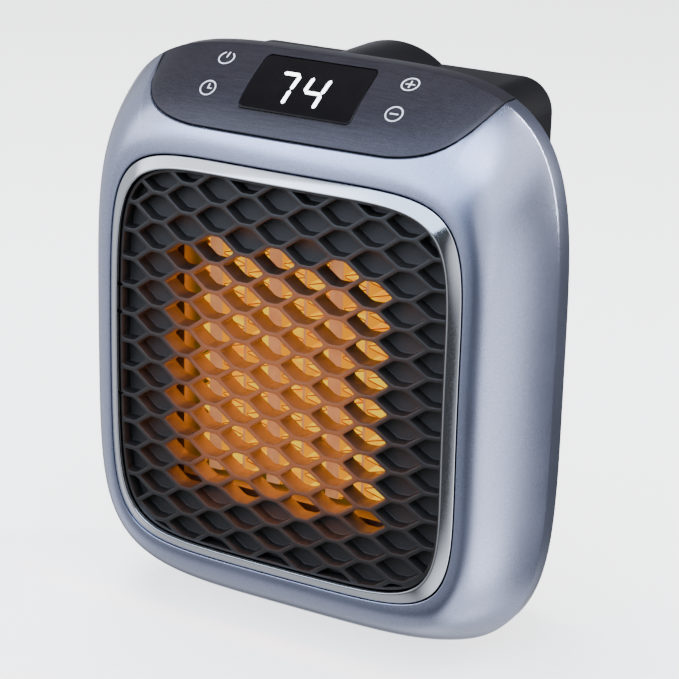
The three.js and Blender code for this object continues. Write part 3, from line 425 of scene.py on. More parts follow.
def trimmed(polygon, fence):
    """The part of a cell that lies inside the grille's outline; both bulge outwards all round."""
    for a, b in zip(fence, fence[1:] + fence[:1]):
        side = b - a
        inside = [side.cross(point - a) >= 0 for point in polygon]
        if all(inside):
            continue
        kept = []
        for i, point in enumerate(polygon):
            j = (i + 1) % len(polygon)
            if inside[i]:
                kept.append(point)
            if inside[i] != inside[j]:
                step = polygon[j] - point
                kept.append(point + step * (side.cross(a - point) / side.cross(step)))
        polygon = kept
        if len(polygon) < 3:
            return []
    return polygon


def area_of(polygon):
    """The area inside an outline that runs counter-clockwise."""
    return sum(a.cross(b) for a, b in zip(polygon, polygon[1:] + polygon[:1])) / 2


def filleted(polygon, radius, steps=3):
    """An outline with its corners rounded, except beside its shortest sides."""
    line = []
    for i, corner in enumerate(polygon):
        before, after = polygon[i - 1] - corner, polygon[(i + 1) % len(polygon)] - corner
        if min(before.length, after.length) < shortest_side:
            line.append(corner)
            continue
        reach = min(radius, before.length * 0.4, after.length * 0.4)
        line += rounded(corner + before.normalized() * reach, corner,
                        corner + after.normalized() * reach, steps)
    return line


def ray_reach(polygon, centre, way):
    """How far an outline lies from a point inside it, in one direction."""
    for a, b in zip(polygon, polygon[1:] + polygon[:1]):
        side = b - a
        cross = way.cross(side)
        if abs(cross) < 1e-12:
            continue
        reach = (a - centre).cross(side) / cross
        part = (a - centre).cross(way) / cross
        if reach > 0 and -1e-9 <= part <= 1 + 1e-9:
            return reach
    return 0.0


def ways_to(points, centre, count, digits):
    """Directions from a centre to each point, and evenly spaced ones between."""
    angles = {round(atan2((p - centre).y, (p - centre).x), digits) for p in points}
    angles |= {round(-pi + 2 * pi * i / count, digits) for i in range(count)}
    return [Vector((cos(angle), sin(angle))) for angle in sorted(angles)]


fence_angles = even_angles(ring_line, 180)
grille_fence = [Vector(ring_line(angle, grille_inset)) for angle in fence_angles]
rim_fence = [Vector(ring_line(angle, grille_inset + grille_rim)) for angle in fence_angles]
slant_run = cell_pitch_x - cell_flat
slope = atan2(cell_pitch_z / 2, slant_run)
open_half_height = (cell_pitch_z - cell_rib) / 2
open_tip = cell_flat / 2 + slant_run - cell_rib / 2 / sin(slope)
open_corner = open_tip - open_half_height / tan(slope)

ribs, pocket_floors = bmesh.new(), bmesh.new()
for column in range(-cell_columns, cell_columns + 1):
    for row in range(-cell_rows, cell_rows + 1):
        x = column * cell_pitch_x
        z = (row + (cell_stagger if column % 2 == 0 else -cell_stagger)) * cell_pitch_z
        tile = trimmed(hexagon(x, z, cell_pitch_z / 2, cell_flat / 2 + slant_run, cell_flat / 2),
                       grille_fence)
        if len(tile) < 3 or area_of(tile) < smallest_tile:
            continue
        mouth = trimmed(hexagon(x, z, open_half_height, open_tip, open_corner), rim_fence)
        if len(mouth) < 3 or area_of(mouth) < smallest_mouth:
            ribs.faces.new([ribs.verts.new(place(domed(p.x, 0, p.y))) for p in tile])
            continue
        mouth = filleted(mouth, cell_corner)
        centre = sum(mouth, Vector((0, 0))) / len(mouth)
        ways = ways_to(tile + mouth, centre, count=18, digits=4)
        is_open = abs(column) <= open_columns and abs(row) <= open_rows
        floor = grille_thickness if is_open else pocket_depth
        # Reach and depth from rib to floor: the rib's top, its round edge, and a wall with draft.
        walls, floors = [], []
        for way in ways:
            outer, inner = ray_reach(tile, centre, way), ray_reach(mouth, centre, way)
            walls.append([(outer, 0), (min(inner + rib_edge, (inner + outer) / 2), 0),
                          (inner + rib_edge * 0.3, 0.07), (inner, rib_edge),
                          (inner * 0.985, floor - 0.4),
                          (inner * cell_draft, floor - floor_curve)])
            floors.append([(inner * cell_draft, floor - floor_curve),
                           (inner * 0.95, floor - 0.03), (inner * 0.91, floor)])
        for target, spokes in [(ribs, walls)] + [(pocket_floors, floors)] * (not is_open):
            rows = []
            for way, spoke in zip(ways, spokes):
                points = [(centre + way * reach, depth) for reach, depth in spoke]
                rows.append([target.verts.new(place(domed(p.x, depth, p.y)))
                             for p, depth in points])
            for near, far in zip(rows, rows[1:] + rows[:1]):
                for i in range(len(near) - 1):
                    if max((side[i].co - side[i + 1].co).length for side in (near, far)) > 1e-8:
                        target.faces.new((near[i], near[i + 1], far[i + 1], far[i]))
            if spokes is floors:
                target.faces.new([row_points[-1] for row_points in rows])
for mesh in (ribs, pocket_floors):
    bmesh.ops.remove_doubles(mesh, verts=mesh.verts, dist=2e-7)
front_grille = made("front_grille_cells", ribs, 32)
fit(front_grille, "housing", "grille_black", "front_grille")
grille_floors = made("front_grille_floors", pocket_floors, 60)
fit(grille_floors, "housing", "grille_black")

# The grille's own edge and back: a plate with the hole that the element blows through.
grille_plate = skin("front_grille_edge", [ring_row(*point) for point in eased([
    (grille_inset, 0.05), (grille_inset, grille_skirt), (0.1, grille_skirt),
    (0.1, grille_thickness), (9.0, grille_thickness)], grille_edge)], sharp=40)
fit(grille_plate, "housing", "grille_black")


def grained(name, dark, light, scale, rough, relief=0.0, uneven=0.08, detail=4.0, height=0.0001,
            stretch=None, pits=None, glow=0.0, **shader):
    """A finish with a two-tone grain, which may be stretched, make the gloss uneven, stand up a
    little, or glow. Finer pits, a kind of pattern with its settings, may stand up instead."""
    material, tree, where = finish(name)
    if stretch:
        where = wire(tree, "Mapping", Vector=where, Scale=stretch)
    grain = wire(tree, "TexNoise", Vector=where, Scale=scale, Detail=detail)
    tone = wire(tree, "Mix", Factor=grain, A=linear(dark), B=linear(light), data_type="RGBA")
    if uneven:
        rough = wire(tree, "MapRange", Value=grain, To_Min=rough - uneven, To_Max=rough + uneven)
    if pits:
        grain = wire(tree, pits[0], Vector=where, **pits[1])
    if relief:
        shader["Normal"] = wire(tree, "Bump", Height=grain, Strength=relief, Distance=height)
    if glow:
        shader.update(Emission_Color=tone, Emission_Strength=glow)
    wire(tree, "OutputMaterial", Surface=wire(tree, "BsdfPrincipled", Base_Color=tone,
        Roughness=rough, **shader))
    return material


# Black glass-filled nylon from a spark-eroded mould: a dry satin with a fine, even grain that
# catches a grey light along each rib's edge. The grain is about 0.1 mm; it is drawn at 0.3 mm so
# that it shows.
grille_nylon = grained("black_glass_filled_nylon", "#131110", "#1c1a18", 120.0, 0.5, relief=0.18,
                       pits=("TexNoise", {"Scale": 3200.0, "Detail": 3.0}), IOR=1.53)
for piece in (front_grille, grille_plate):
    dress(piece, grille_nylon)

# The floors of the blind cells keep the coarser, rougher grain of the mould's spark-eroded cores.
# Their tone is painted a shade lighter than the ribs': painted light on the same black nylon.
dress(grille_floors, grained("black_nylon_floors_painted_light", "#211d1b", "#2e2a27", 2600.0, 0.62,
                             relief=0.3, uneven=0, IOR=1.53))

# ------------------------------------------------------------------ Heating element
# Four upright heater bars, each an aluminium tube with ceramic stones in it, and separator strips
# half-way between them. Folded aluminium fins are bonded to both. Their glow is painted light.
heater_front = 11.3
heater_back = 18.3
heater_half_width = 32.07
heater_half_height = 34.0
bar_pitch = 2 * cell_pitch_x
bar_width = 4
bar_edge = 0.5
bar_end_gap = 0.2
separator_width = 0.8
separator_edge = 0.2
fin_fold = 2.1
fin_sheet = 0.35
fin_inset = 0.5
fin_gap = 0.35
fin_side_gap = 0.3
fin_end_gap = 0.4
fold_half_height = 0.28
fold_bulge = 0.18


def ribbon_rows(path, width, front, back):
    """An upright strip of sheet that follows a path seen from the front."""
    rows = []
    for i, point in enumerate(path):
        run = (path[min(i + 1, len(path) - 1)] - path[max(i - 1, 0)]).normalized()
        side = Vector((-run.y, run.x)) * width / 2
        left, right = point + side, point - side
        rows.append([(left.x, front, left.y), (right.x, front, right.y),
                     (right.x, back, right.y), (left.x, back, left.y)])
    return rows


uprights = [(i * bar_pitch / 2, bar_width if i % 2 else separator_width) for i in range(-3, 4)]
fin_edges = [-heater_half_width + fin_side_gap]
for x, width in uprights:
    fin_edges += [x - width / 2, x + width / 2]
fin_edges.append(heater_half_width - fin_side_gap)
fins = bmesh.new()
folds = int(2 * (heater_half_height - fin_end_gap) / fin_fold)
for left, right in zip(fin_edges[::2], fin_edges[1::2]):
    path = []
    for i in range(folds + 1):
        side, bulge = (right - fin_gap, fold_bulge) if i % 2 else (left + fin_gap, -fold_bulge)
        height = (i - folds / 2) * fin_fold
        path += [Vector((side, height - fold_half_height)), Vector((side + bulge, height)),
                 Vector((side, height + fold_half_height))]
    sewn(fins, ribbon_rows(path, fin_sheet, heater_front + fin_inset, heater_back - fin_inset))
heater_fins = made("heater_fins", fins, 50)
fit(heater_fins, "housing", "aluminium", "heating_element")

bars = bmesh.new()
for x, width in uprights:
    half, reach = width / 2, heater_half_height - bar_end_gap
    section = eased([(x - half, heater_back), (x - half, heater_front), (x + half, heater_front),
                     (x + half, heater_back)], bar_edge if width > 1 else separator_edge)
    sewn(bars, [[(px, depth, reach * share) for px, depth in section]
                for share in (-1, -0.5, 0, 0.5, 1)])
heater_bars = made("heater_bars", bars, 35)
fit(heater_bars, "housing", "aluminium")

# Aluminium fin sheet with a painted glow: it gives off yellow light in some patches and orange in
# others, and a painted shade of dull red along the cut edges, which face forward.
glowing_fins, tree, where = finish("aluminium_fins_painted_glow")
patch = wire(tree, "TexNoise", Vector=where, Scale=160.0, Detail=2.0)
# Painted glow: random patches of the sheet give off yellow light, the rest orange.
painted_glow_patches = wire(tree, "MapRange", Value=patch, From_Min=0.3, From_Max=0.6)
painted_glow_sheet = wire(tree, "Mix", Factor=painted_glow_patches, A=linear("#ff9000"), B=linear("#ffd010"),
    data_type="RGBA")
facing = wire(tree, "SeparateXYZ", Vector=wire(tree, "NewGeometry").outputs["Normal"])
# Painted shade: faces turned to the front glow a dull red rather than yellow.
painted_shade_edge = wire(tree, "MapRange", Value=facing.outputs["Y"], From_Min=-0.9, From_Max=-0.3)
painted_glow_tone = wire(tree, "Mix", Factor=painted_shade_edge, A=linear("#982e04"), B=painted_glow_sheet, data_type="RGBA")
sheet_mark = wire(tree, "TexNoise", Vector=where, Scale=1800.0, Detail=3.0)
sheet_bump = wire(tree, "Bump", Height=sheet_mark, Strength=0.1, Distance=0.0001)
wire(tree, "OutputMaterial", Surface=wire(tree, "BsdfPrincipled", Base_Color=linear("#4a3818"),
    Metallic=0.4, Roughness=0.45, Normal=sheet_bump, Emission_Color=painted_glow_tone,
    Emission_Strength=1.15))
dress(heater_fins, glowing_fins)

# Anodised tube over ceramic stones, with a painted glow: the fronts of the bars give off a duller,
# clay-pink light, and their flanks, by painted light, are as orange as the fins.
glowing_bars, tree, where = finish("anodised_heater_bars_painted_glow")
mottle = wire(tree, "TexNoise", Vector=where, Scale=260.0, Detail=4.0)
painted_glow_fronts = wire(tree, "Mix", Factor=mottle, A=linear("#a86238"), B=linear("#d69a68"), data_type="RGBA")
facing = wire(tree, "SeparateXYZ", Vector=wire(tree, "NewGeometry").outputs["Normal"])
# Painted light: faces turned sideways glow as orange as the fins, the fronts a duller pink.
flank = wire(tree, "MapRange", Value=facing.outputs["Y"], From_Min=-0.8, From_Max=-0.4)
painted_glow_bars = wire(tree, "Mix", Factor=flank, A=painted_glow_fronts, B=linear("#f59a08"), data_type="RGBA")
bar_bump = wire(tree, "Bump", Height=mottle, Strength=0.15, Distance=0.0002)
wire(tree, "OutputMaterial", Surface=wire(tree, "BsdfPrincipled", Base_Color=linear("#38261c"),
    Metallic=0.3, Roughness=0.5, Normal=bar_bump, Emission_Color=painted_glow_bars, Emission_Strength=1.0))
dress(heater_bars, glowing_bars)

# ------------------------------------------------------------------ Display window
# A lens of smoked acrylic, polished on the front and let into the panel, a little below its face.
# The digits shine through it.
window_half_width = 15.8
window_low = 65.5
window_high = 76.1
window_corner = 1.3
window_gap = 0.1
window_sink = 0.16
window_side = 1.2
window_face_inset = 0.5
window_edge = 0.12
window_rings = 12
window_middle = Vector((0, (window_low + window_high) / 2))


def roll_depth(x, z):
    """Depth of the rolled face over a point near its top, seen from the front."""
    low, high = 0.0, 1.0
    for _ in range(34):
        q = (low + high) / 2
        rest = 1 - q ** ring_exponent
        start = ((ring_half_width + opening_gap) * q,
                 (ring_half_height + opening_gap) * rest ** (1 / ring_exponent))
        end = (crest_half_width * q ** (ring_exponent / crest_exponent),
               (crest_top - crest_bottom) / 2
               + (crest_top + crest_bottom) / 2 * rest ** (1 / crest_exponent))
        run = (end[0] - start[0], end[1] - start[1])
        if run[0] * (z - start[1]) - run[1] * (abs(x) - start[0]) > 0:
            high = q
        else:
            low = q
    share = (((abs(x) - start[0]) * run[0] + (z - start[1]) * run[1])
             / (run[0] ** 2 + run[1] ** 2))
    rise = bow(start[0] * ring_half_width / (ring_half_width + opening_gap),
               start[1] * ring_half_height / (ring_half_height + opening_gap))
    return roll_depth_back * max(share, 0) ** roll_exponent + rise * (1 - share)


def on_roll(line, sink=0.0):
    """A line drawn from the front, laid on the rolled face and sunk into it."""
    return [(p.x, roll_depth(p.x, p.y) + sink, p.y) for p in line]


def rounded_box(half_width, top, bottom, radius, steps=8):
    """An upright rounded rectangle seen from the front, counter-clockwise."""
    line = []
    for turn, (x, z) in enumerate((
            (half_width - radius, top - radius), (radius - half_width, top - radius),
            (radius - half_width, bottom + radius), (half_width - radius, bottom + radius))):
        angles = [pi / 2 * (turn + i / steps) for i in range(steps + 1)]
        line += [Vector((x + radius * cos(angle), z + radius * sin(angle))) for angle in angles]
    return line


def window_line(ways, grow):
    """The window's outline, met by rays from its middle."""
    outline = rounded_box(window_half_width + grow, window_high + grow, window_low - grow,
                          window_corner + grow)
    return [window_middle + way * ray_reach(outline, window_middle, way) for way in ways]


panel_cut = panel_edge(-panel_cut_clearance)
panel_tip_angle = first_in_panel(crest_line, panel_cut, pi / 2)
across = [panel_tip_angle + (pi - 2 * panel_tip_angle) * i / 150 for i in range(151)]
panel_rim = [(angle, share_at_panel(angle, panel_cut), 1) for angle in across]
panel_rim += [(angle, 1.0, -1) for angle in reversed(across)]
panel_ways = [(roll(angle, share).xz - window_middle).normalized()
              for angle, share, _ in panel_rim]

window_rows = [on_roll(window_line(panel_ways, -inset), sink) for inset, sink in eased([
    (window_gap, window_side), (window_gap, window_sink),
    (window_face_inset, window_sink)], window_edge)]
for i in range(1, window_rings):
    window_rows.append(on_roll([window_middle.lerp(p, 1 - i / window_rings)
                                for p in window_line(panel_ways, -window_face_inset)],
                               window_sink))
window_lens = skin("display_window_lens", window_rows, (False, True), 40)
fit(window_lens, "housing", "dark_glass", "display_window")

# Smoked acrylic, polished: almost black, with a mirror-like skin and the faintest cloudiness.
dress(window_lens, grained("smoked_acrylic", "#0e0d0e", "#141213", 200.0, 0.105, uneven=0.035,
                           detail=5.0, IOR=1.49))

# ------------------------------------------------------------------ Control panel
# A moulded ABS cap under a foil printed to look like brushed gunmetal. It is let into the top of
# the front shell, follows the same roll and folds over the crest to the back.
panel_edge_radius = 0.35
hole_gap = 0.12
hole_round = 0.35
panel_steps = 19

face_rim, rooms = [], []
for angle, share, way in panel_rim:
    # The panel thins out to nothing at its tips, and its edges thin out with it.
    rooms.append((1 - share_at_panel(angle, panel_cut)) * pace(angle, share))
    radius = min(panel_edge_radius if way > 0 else crest_radius, rooms[-1] * 0.4)
    face_rim.append(roll(angle, share + way * radius / pace(angle, share)))
# Up the wall of the window's hole, over its soft edge, and out across the face to the rim.
panel_hole = window_line(panel_ways, hole_gap)
panel_rows = [on_roll(panel_hole, window_side), on_roll(panel_hole, 0.2),
              on_roll(window_line(panel_ways, 0.18), 0.04)]
for i in range(panel_steps):
    panel_rows.append(on_roll([
        hole.lerp(rim.xz, i / panel_steps)
        for hole, rim in zip(window_line(panel_ways, hole_round), face_rim)]))
panel_columns = []
for (angle, share, way), rim, room in zip(panel_rim, face_rim, rooms):
    edge = roll(angle, share)
    run = band_run_at_panel if way > 0 else band_run
    panel_columns.append(
        rounded(rim, edge, edge + backwards * (rim - edge).length)
        + folded_back(edge, run, outwards(angle) * way, min(band_bend, room * 0.1),
                      min(band_lip, room * 0.45)))
control_panel = skin("control_panel_cap", panel_rows + list(zip(*panel_columns)), sharp=40)
fit(control_panel, "housing", "panel_foil", "control_panel")

# Brushed gunmetal foil: fine level hair lines that spread the light upwards and downwards.
brushed_foil, tree, where = finish("brushed_gunmetal_foil")
# The hair lines are 0.05 mm apart and about 15 mm long; drawn at 0.2 mm so that they show.
stretched = wire(tree, "Mapping", Vector=where, Scale=(90.0, 4200.0, 4200.0))
hair = wire(tree, "TexNoise", Vector=stretched, Scale=1.0, Detail=5.0, Roughness=0.65)
speck = wire(tree, "TexNoise", Vector=where, Scale=2600.0, Detail=2.0)
mixed = wire(tree, "Mix", Factor=0.35, A=hair, B=speck, data_type="FLOAT")
line_share = wire(tree, "MapRange", Value=mixed, From_Min=0.3, From_Max=0.7)
tone = wire(tree, "Mix", Factor=line_share, A=linear("#252428"), B=linear("#46434b"),
    data_type="RGBA")
drag = wire(tree, "MapRange", Value=line_share, To_Min=0.36, To_Max=0.5)
hair_bump = wire(tree, "Bump", Height=mixed, Strength=0.22, Distance=0.0001)
wire(tree, "OutputMaterial", Surface=wire(tree, "BsdfPrincipled", Base_Color=tone, Metallic=0.65,
    Roughness=drag, Normal=hair_bump, Coat_Weight=0.15, Coat_Roughness=0.25))
dress(control_panel, brushed_foil)

# ------------------------------------------------------------------ Digits and touch icons
# Two seven-segment digits, drawn as thin bars of light just on the window's face and slanted like
# most. Four icons are printed in white on the foil, over the touch pads: power, clock, plus, minus.
digit_half_width = 2.4
digit_half_height = 4.7
digit_slant = 0.09
digit_stroke = 1.02
digit_joint = 0.62
icon_stroke = 0.39
icon_radius = 2.1


def on_panel(centre, along, up, lift):
    """A point of the panel's face, so far along and up its slope from a centre."""
    step = 0.05
    x, z = centre
    lean = (roll_depth(x, z + step) - roll_depth(x, z - step)) / (2 * step)
    turn = (roll_depth(x + step, z) - roll_depth(x - step, z)) / (2 * step)
    x, z = x + along / sqrt(1 + turn ** 2), z + up / sqrt(1 + lean ** 2)
    size = sqrt(1 + lean ** 2 + turn ** 2)
    return x + turn / size * lift, roll_depth(x, z) - lift / size, z + lean / size * lift


def stroke(mesh, centre, path, width, ends, lift, sunk):
    """Adds one printed line, with its ends pointed, rounded or joined, to a mesh."""
    path = [Vector(point) for point in path]
    closed = ends == "joined"
    last = len(path) - 1
    rows = []
    for i, point in enumerate(path):
        after = path[(i + 1) % len(path) if closed else min(i + 1, last)]
        before = path[i - 1 if closed else max(i - 1, 0)]
        run = (after - before).normalized()
        rows.append((point, Vector((-run.y, run.x)) * width / 2, run * width / 2))
    if not closed:
        taper = ([(1.0, 0.02), (0.5, 0.5)] if ends == "pointed"
                 else [(1.0, 0.05), (0.87, 0.5), (0.5, 0.87)])
        (start, start_side, start_run), (end, end_side, end_run) = rows[0], rows[-1]
        rows = ([(start - start_run * far, start_side * wide, None) for far, wide in taper] + rows
                + [(end + end_run * far, end_side * wide, None) for far, wide in taper[::-1]])
    sewn(mesh, [[on_panel(centre, *(point + side), sunk), on_panel(centre, *(point + side), lift),
                 on_panel(centre, *(point - side), lift), on_panel(centre, *(point - side), sunk)]
                for point, side, _ in rows], (not closed, not closed), closed)


def straight(start, end, steps=6):
    """A line of evenly spaced points."""
    return [Vector(start).lerp(Vector(end), i / steps) for i in range(steps + 1)]


def arc(radius, begin, end, steps=40):
    """Part of a circle, from one angle in degrees to another."""
    angles = [radians(begin + (end - begin) * i / steps) for i in range(steps + 1)]
    return [(radius * cos(angle), radius * sin(angle)) for angle in angles]


segments = {"top": ((-1, 1), (1, 1)), "middle": ((-1, 0), (1, 0)),
            "upper_left": ((-1, 1), (-1, 0)), "upper_right": ((1, 1), (1, 0)),
            "lower_right": ((1, 0), (1, -1))}
digits = (((-6.2, 70.45), ("top", "upper_right", "lower_right")),
          ((2.45, 70.45), ("upper_left", "upper_right", "middle", "lower_right")))
digit_mesh = bmesh.new()
for centre, lit in digits:
    for part in lit:
        start, end = [Vector((x * digit_half_width + z * digit_half_height * digit_slant,
                              z * digit_half_height)) for x, z in segments[part]]
        gap = (end - start).normalized() * (digit_stroke * digit_joint)
        stroke(digit_mesh, centre, straight(start + gap, end - gap), digit_stroke, "pointed",
               lift=-0.045, sunk=-0.2)
display_digits = made("display_digits", digit_mesh, 40)
fit(display_digits, "housing", "dark_glass")

circle = (arc(icon_radius, 0, 351, 39), "joined")
icons = (
    ((-26.2, 74.3), [(arc(icon_radius, 125, 415), "rounded"),
                     (straight((0, 0.3), (0, 2.0)), "rounded")]),
    ((-26.2, 68.3), [circle, (straight((0, 1.2), (0, 0)), "rounded"),
                     (straight((0, 0), (0.95, 0)), "rounded")]),
    ((25.5, 74.5), [circle, (straight((-1.05, 0), (1.05, 0)), "rounded"),
                    (straight((0, -1.05), (0, 1.05)), "rounded")]),
    ((25.7, 68.9), [circle, (straight((-0.95, 0), (0.95, 0)), "rounded")]),
)
icon_mesh = bmesh.new()
for centre, lines in icons:
    for number, (path, ends) in enumerate(lines):
        # Each line lies a hair over the one before, so that no two share a plane.
        stroke(icon_mesh, centre, path, icon_stroke, ends, lift=0.04 + 0.004 * number,
               sunk=-0.05)
touch_icons = made("touch_icons", icon_mesh, 40)
fit(touch_icons, "housing", "panel_foil")

# White light-emitting segments: flat and even, with a breath of blue, softer at the ends.
dress(display_digits, grained("white_display_segments", "#f4f6fa", "#ffffff", 500.0, 0.4,
                              uneven=0, detail=1.0, glow=5.0))
# Screen-printed white ink: matt, slightly uneven in cover.
dress(touch_icons, grained("screen_printed_white_ink", "#b9bcc4", "#e4e5ea", 2200.0, 0.6,
                           relief=0.1, uneven=0, detail=3.0, height=0.00005))

# ------------------------------------------------------------------ Rear housing
# One moulding in black ABS: a shallow dish that closes the shell, a box for the fan and mains
# parts, and the round turret that the plug turns in. Air comes in through slots in its back and
# sides, and four screws go in round it.
dish_front = 26
dish_floor = 31
dish_run = 11.5
dish_setback = 0.4
dish_edge = 0.1
socket_inset = 2.3
socket_depth = 22.7
box_half_width = 44.6
box_top = 71.1
box_bottom = -57
box_corner = 8.5
box_edge = 1.5
housing_depth = 55
housing_wall = 2
turret_radius = 21.7
plug_hole_radius = 17.75
slot_height = 2.4
slot_pitch = 5.6
slot_field_radius = 30
slot_spine = 1.6
side_slots = (36.6, 49.6)
back_cut = (52.0, 56.0)
switch_opening = ((38.1, -36.8), (51.3, -15.2))
screw_hole_radius = 3.0
screw_hole_run = (26.0, 32.0)
screw_places = ((-52.5, 44.0), (-52.5, -48.0), (52.5, 44.0), (52.5, -48.0))


def crest_row(inset, depth):
    """The crest's outline, drawn in, at one depth."""
    outline = [crest_line(angle, inset) for angle in crest_angles]
    return [(x, depth, z) for x, z in outline]


def box_row(inset, depth):
    """The rear box's outline, drawn in, at one depth."""
    return [(p.x, depth, p.y) for p in rounded_box(
        box_half_width - inset, box_top - inset, box_bottom + inset,
        max(box_corner - inset, 1), 10)]


def round_row(radius, depth, x, z, count):
    """A circle at one depth."""
    angles = [2 * pi * i / count for i in range(count)]
    return [(x + radius * cos(angle), depth, z + radius * sin(angle)) for angle in angles]


def cut_box(mesh, low, high):
    """Adds a plain box to a cutter, from its lowest to its highest corner."""
    sewn(mesh, [[(low[0], y, low[2]), (high[0], y, low[2]), (high[0], y, high[2]),
                 (low[0], y, high[2])] for y in (low[1], high[1])])


def cut_round(mesh, radius, front, back, x, z, count=32):
    """Adds a plain cylinder to a mesh, from its front to its back."""
    sewn(mesh, [round_row(radius, depth, x, z, count) for depth in (front, back)])


def carved(piece, sharp, *steps):
    """Joins and cuts solids, one after the other, and leaves one finished piece."""
    for way, tool in steps:
        step = piece.modifiers.new("step", "BOOLEAN")
        step.operation, step.object, step.solver = way, tool, "EXACT"
    graph = bpy.context.evaluated_depsgraph_get()
    data = bpy.data.meshes.new_from_object(piece.evaluated_get(graph))
    name = piece.name
    for used in [piece] + [tool for _, tool in steps]:
        bpy.data.objects.remove(used)
    return set_up(name, data, sharp)


crest_angles = even_angles(crest_line, 240)
dish_rows = [crest_row(socket_inset, socket_depth),
             crest_row(socket_inset, dish_front - dish_edge),
             crest_row(dish_setback + 0.25, dish_front - dish_edge),
             crest_row(dish_setback, dish_front + dish_edge)]
for turn in (pi / 2 * i / 14 for i in range(1, 15)):
    dish_rows.append(crest_row(dish_setback + dish_run * (1 - cos(turn)),
                               dish_front + (dish_floor - dish_front) * sin(turn)))
dish = skin("rear_housing_moulding", dish_rows, (True, True))
box = skin("housing_box", [box_row(*point) for point in eased([
    (0, 29.0), (0, housing_depth), (box_edge * 2, housing_depth)], box_edge, 6)], (True, True))
turret = skin("housing_turret", [round_row(*point, 0, turret_height, 128) for point in eased([
    (turret_radius, 30.0), (turret_radius, housing_depth),
    (turret_radius - box_edge * 2, housing_depth)], box_edge, 6)], (True, True))
# The hollows in the dish, the box and the turret.
cavity_back = housing_depth - housing_wall
cavities = [
    skin("cavity_dish", [crest_row(4.3, 20.0), crest_row(4.3, 26.0), crest_row(8.0, 28.2),
                         crest_row(14.0, 29.0)], (True, True)),
    skin("cavity_box", [box_row(housing_wall, depth) for depth in (25.0, cavity_back)],
         (True, True)),
    skin("cavity_turret", [round_row(turret_radius - housing_wall, depth, 0, turret_height, 64)
                           for depth in (33.0, cavity_back)], (True, True)),
]
cuts = bmesh.new()
cut_round(cuts, plug_hole_radius, *back_cut, 0, turret_height, 96)
for side in (-1, 1):
    for height in ((i - 4) * slot_pitch for i in range(9)):
        ends = sorted((side * slot_spine, side * sqrt(slot_field_radius ** 2 - height ** 2)))
        cut_box(cuts, (ends[0], back_cut[0], height - slot_height / 2),
                (ends[1], back_cut[1], height + slot_height / 2))
    ends = sorted((side * (box_half_width - 4), side * (box_half_width + 1)))
    for height in (-2 + i * slot_pitch for i in range(7)):
        cut_box(cuts, (ends[0], side_slots[0], height - slot_height / 2),
                (ends[1], side_slots[1], height + slot_height / 2))
cut_box(cuts, (-box_half_width - 1, *switch_opening[0]), (-box_half_width + 4, *switch_opening[1]))
for x, height in screw_places:
    cut_round(cuts, screw_hole_radius, *screw_hole_run, x, height, 24)
rear_housing = carved(dish, 28, ("UNION", box), ("UNION", turret),
                      *(("DIFFERENCE", cavity) for cavity in cavities),
                      ("DIFFERENCE", made("housing_cutters", cuts)))
fit(rear_housing, "housing", "housing_black", "rear_housing")

# Black ABS from an etched mould: a low leather-like grain, its pits about 0.4 mm apart, that
# breaks up the light without gloss.
etched_abs = grained("black_etched_abs", "#0d0c0e", "#161518", 60.0, 0.41, relief=0.25,
                     uneven=0.05, pits=("TexVoronoi", {"Scale": 2400.0, "feature": "SMOOTH_F1"}),
                     IOR=1.54, Specular_IOR_Level=0.2)
dress(rear_housing, etched_abs)

# ------------------------------------------------------------------ Swivelling plug
# A flanged disc moulded in black polyamide turns in the turret. Two flat blades of nickel-plated
# brass are moulded into it, the neutral one wider, with rounded noses and a hole near the end.
flange_radius = 19.0
flange_front = 50.4
flange_back = 52.7
plug_radius = 17.4
plug_edge = 0.5
groove_outer = 12.6
groove_inner = 11.6
groove_depth = 0.5
blade_spacing = 12.7
blade_half_thickness = 0.75
blade_edge = 0.15
blade_nose = 1.9
blade_end = 79
blade_hole_radius = 1.45
blade_hole_inset = 4.6

disc_rows = [round_row(*point, 0, turret_height, 96) for point in eased([
    (flange_radius, flange_front), (flange_radius, flange_back), (plug_radius, flange_back),
    (plug_radius, outlet_depth), (groove_outer, outlet_depth),
    (groove_outer - 0.3, outlet_depth - groove_depth),
    (groove_inner + 0.3, outlet_depth - groove_depth), (groove_inner, outlet_depth)],
    plug_edge, 4)]
disc_rows.append(round_row(0.02, outlet_depth, 0, turret_height, 96))
plug_disc = skin("plug_disc_moulding", disc_rows, (True, True), 35)
fit(plug_disc, "plug", "housing_black", "plug_disc")
dress(plug_disc, etched_abs)

# Nickel over brass: a warm pale metal, drawn along its length by the press and dulled at the
# noses by use.
nickel = grained("nickel_plated_brass", "#b8ad94", "#d8d2c2", 1.0, 0.28, relief=0.12,
                 height=0.00005, stretch=(3000.0, 160.0, 3000.0), Metallic=1.0)

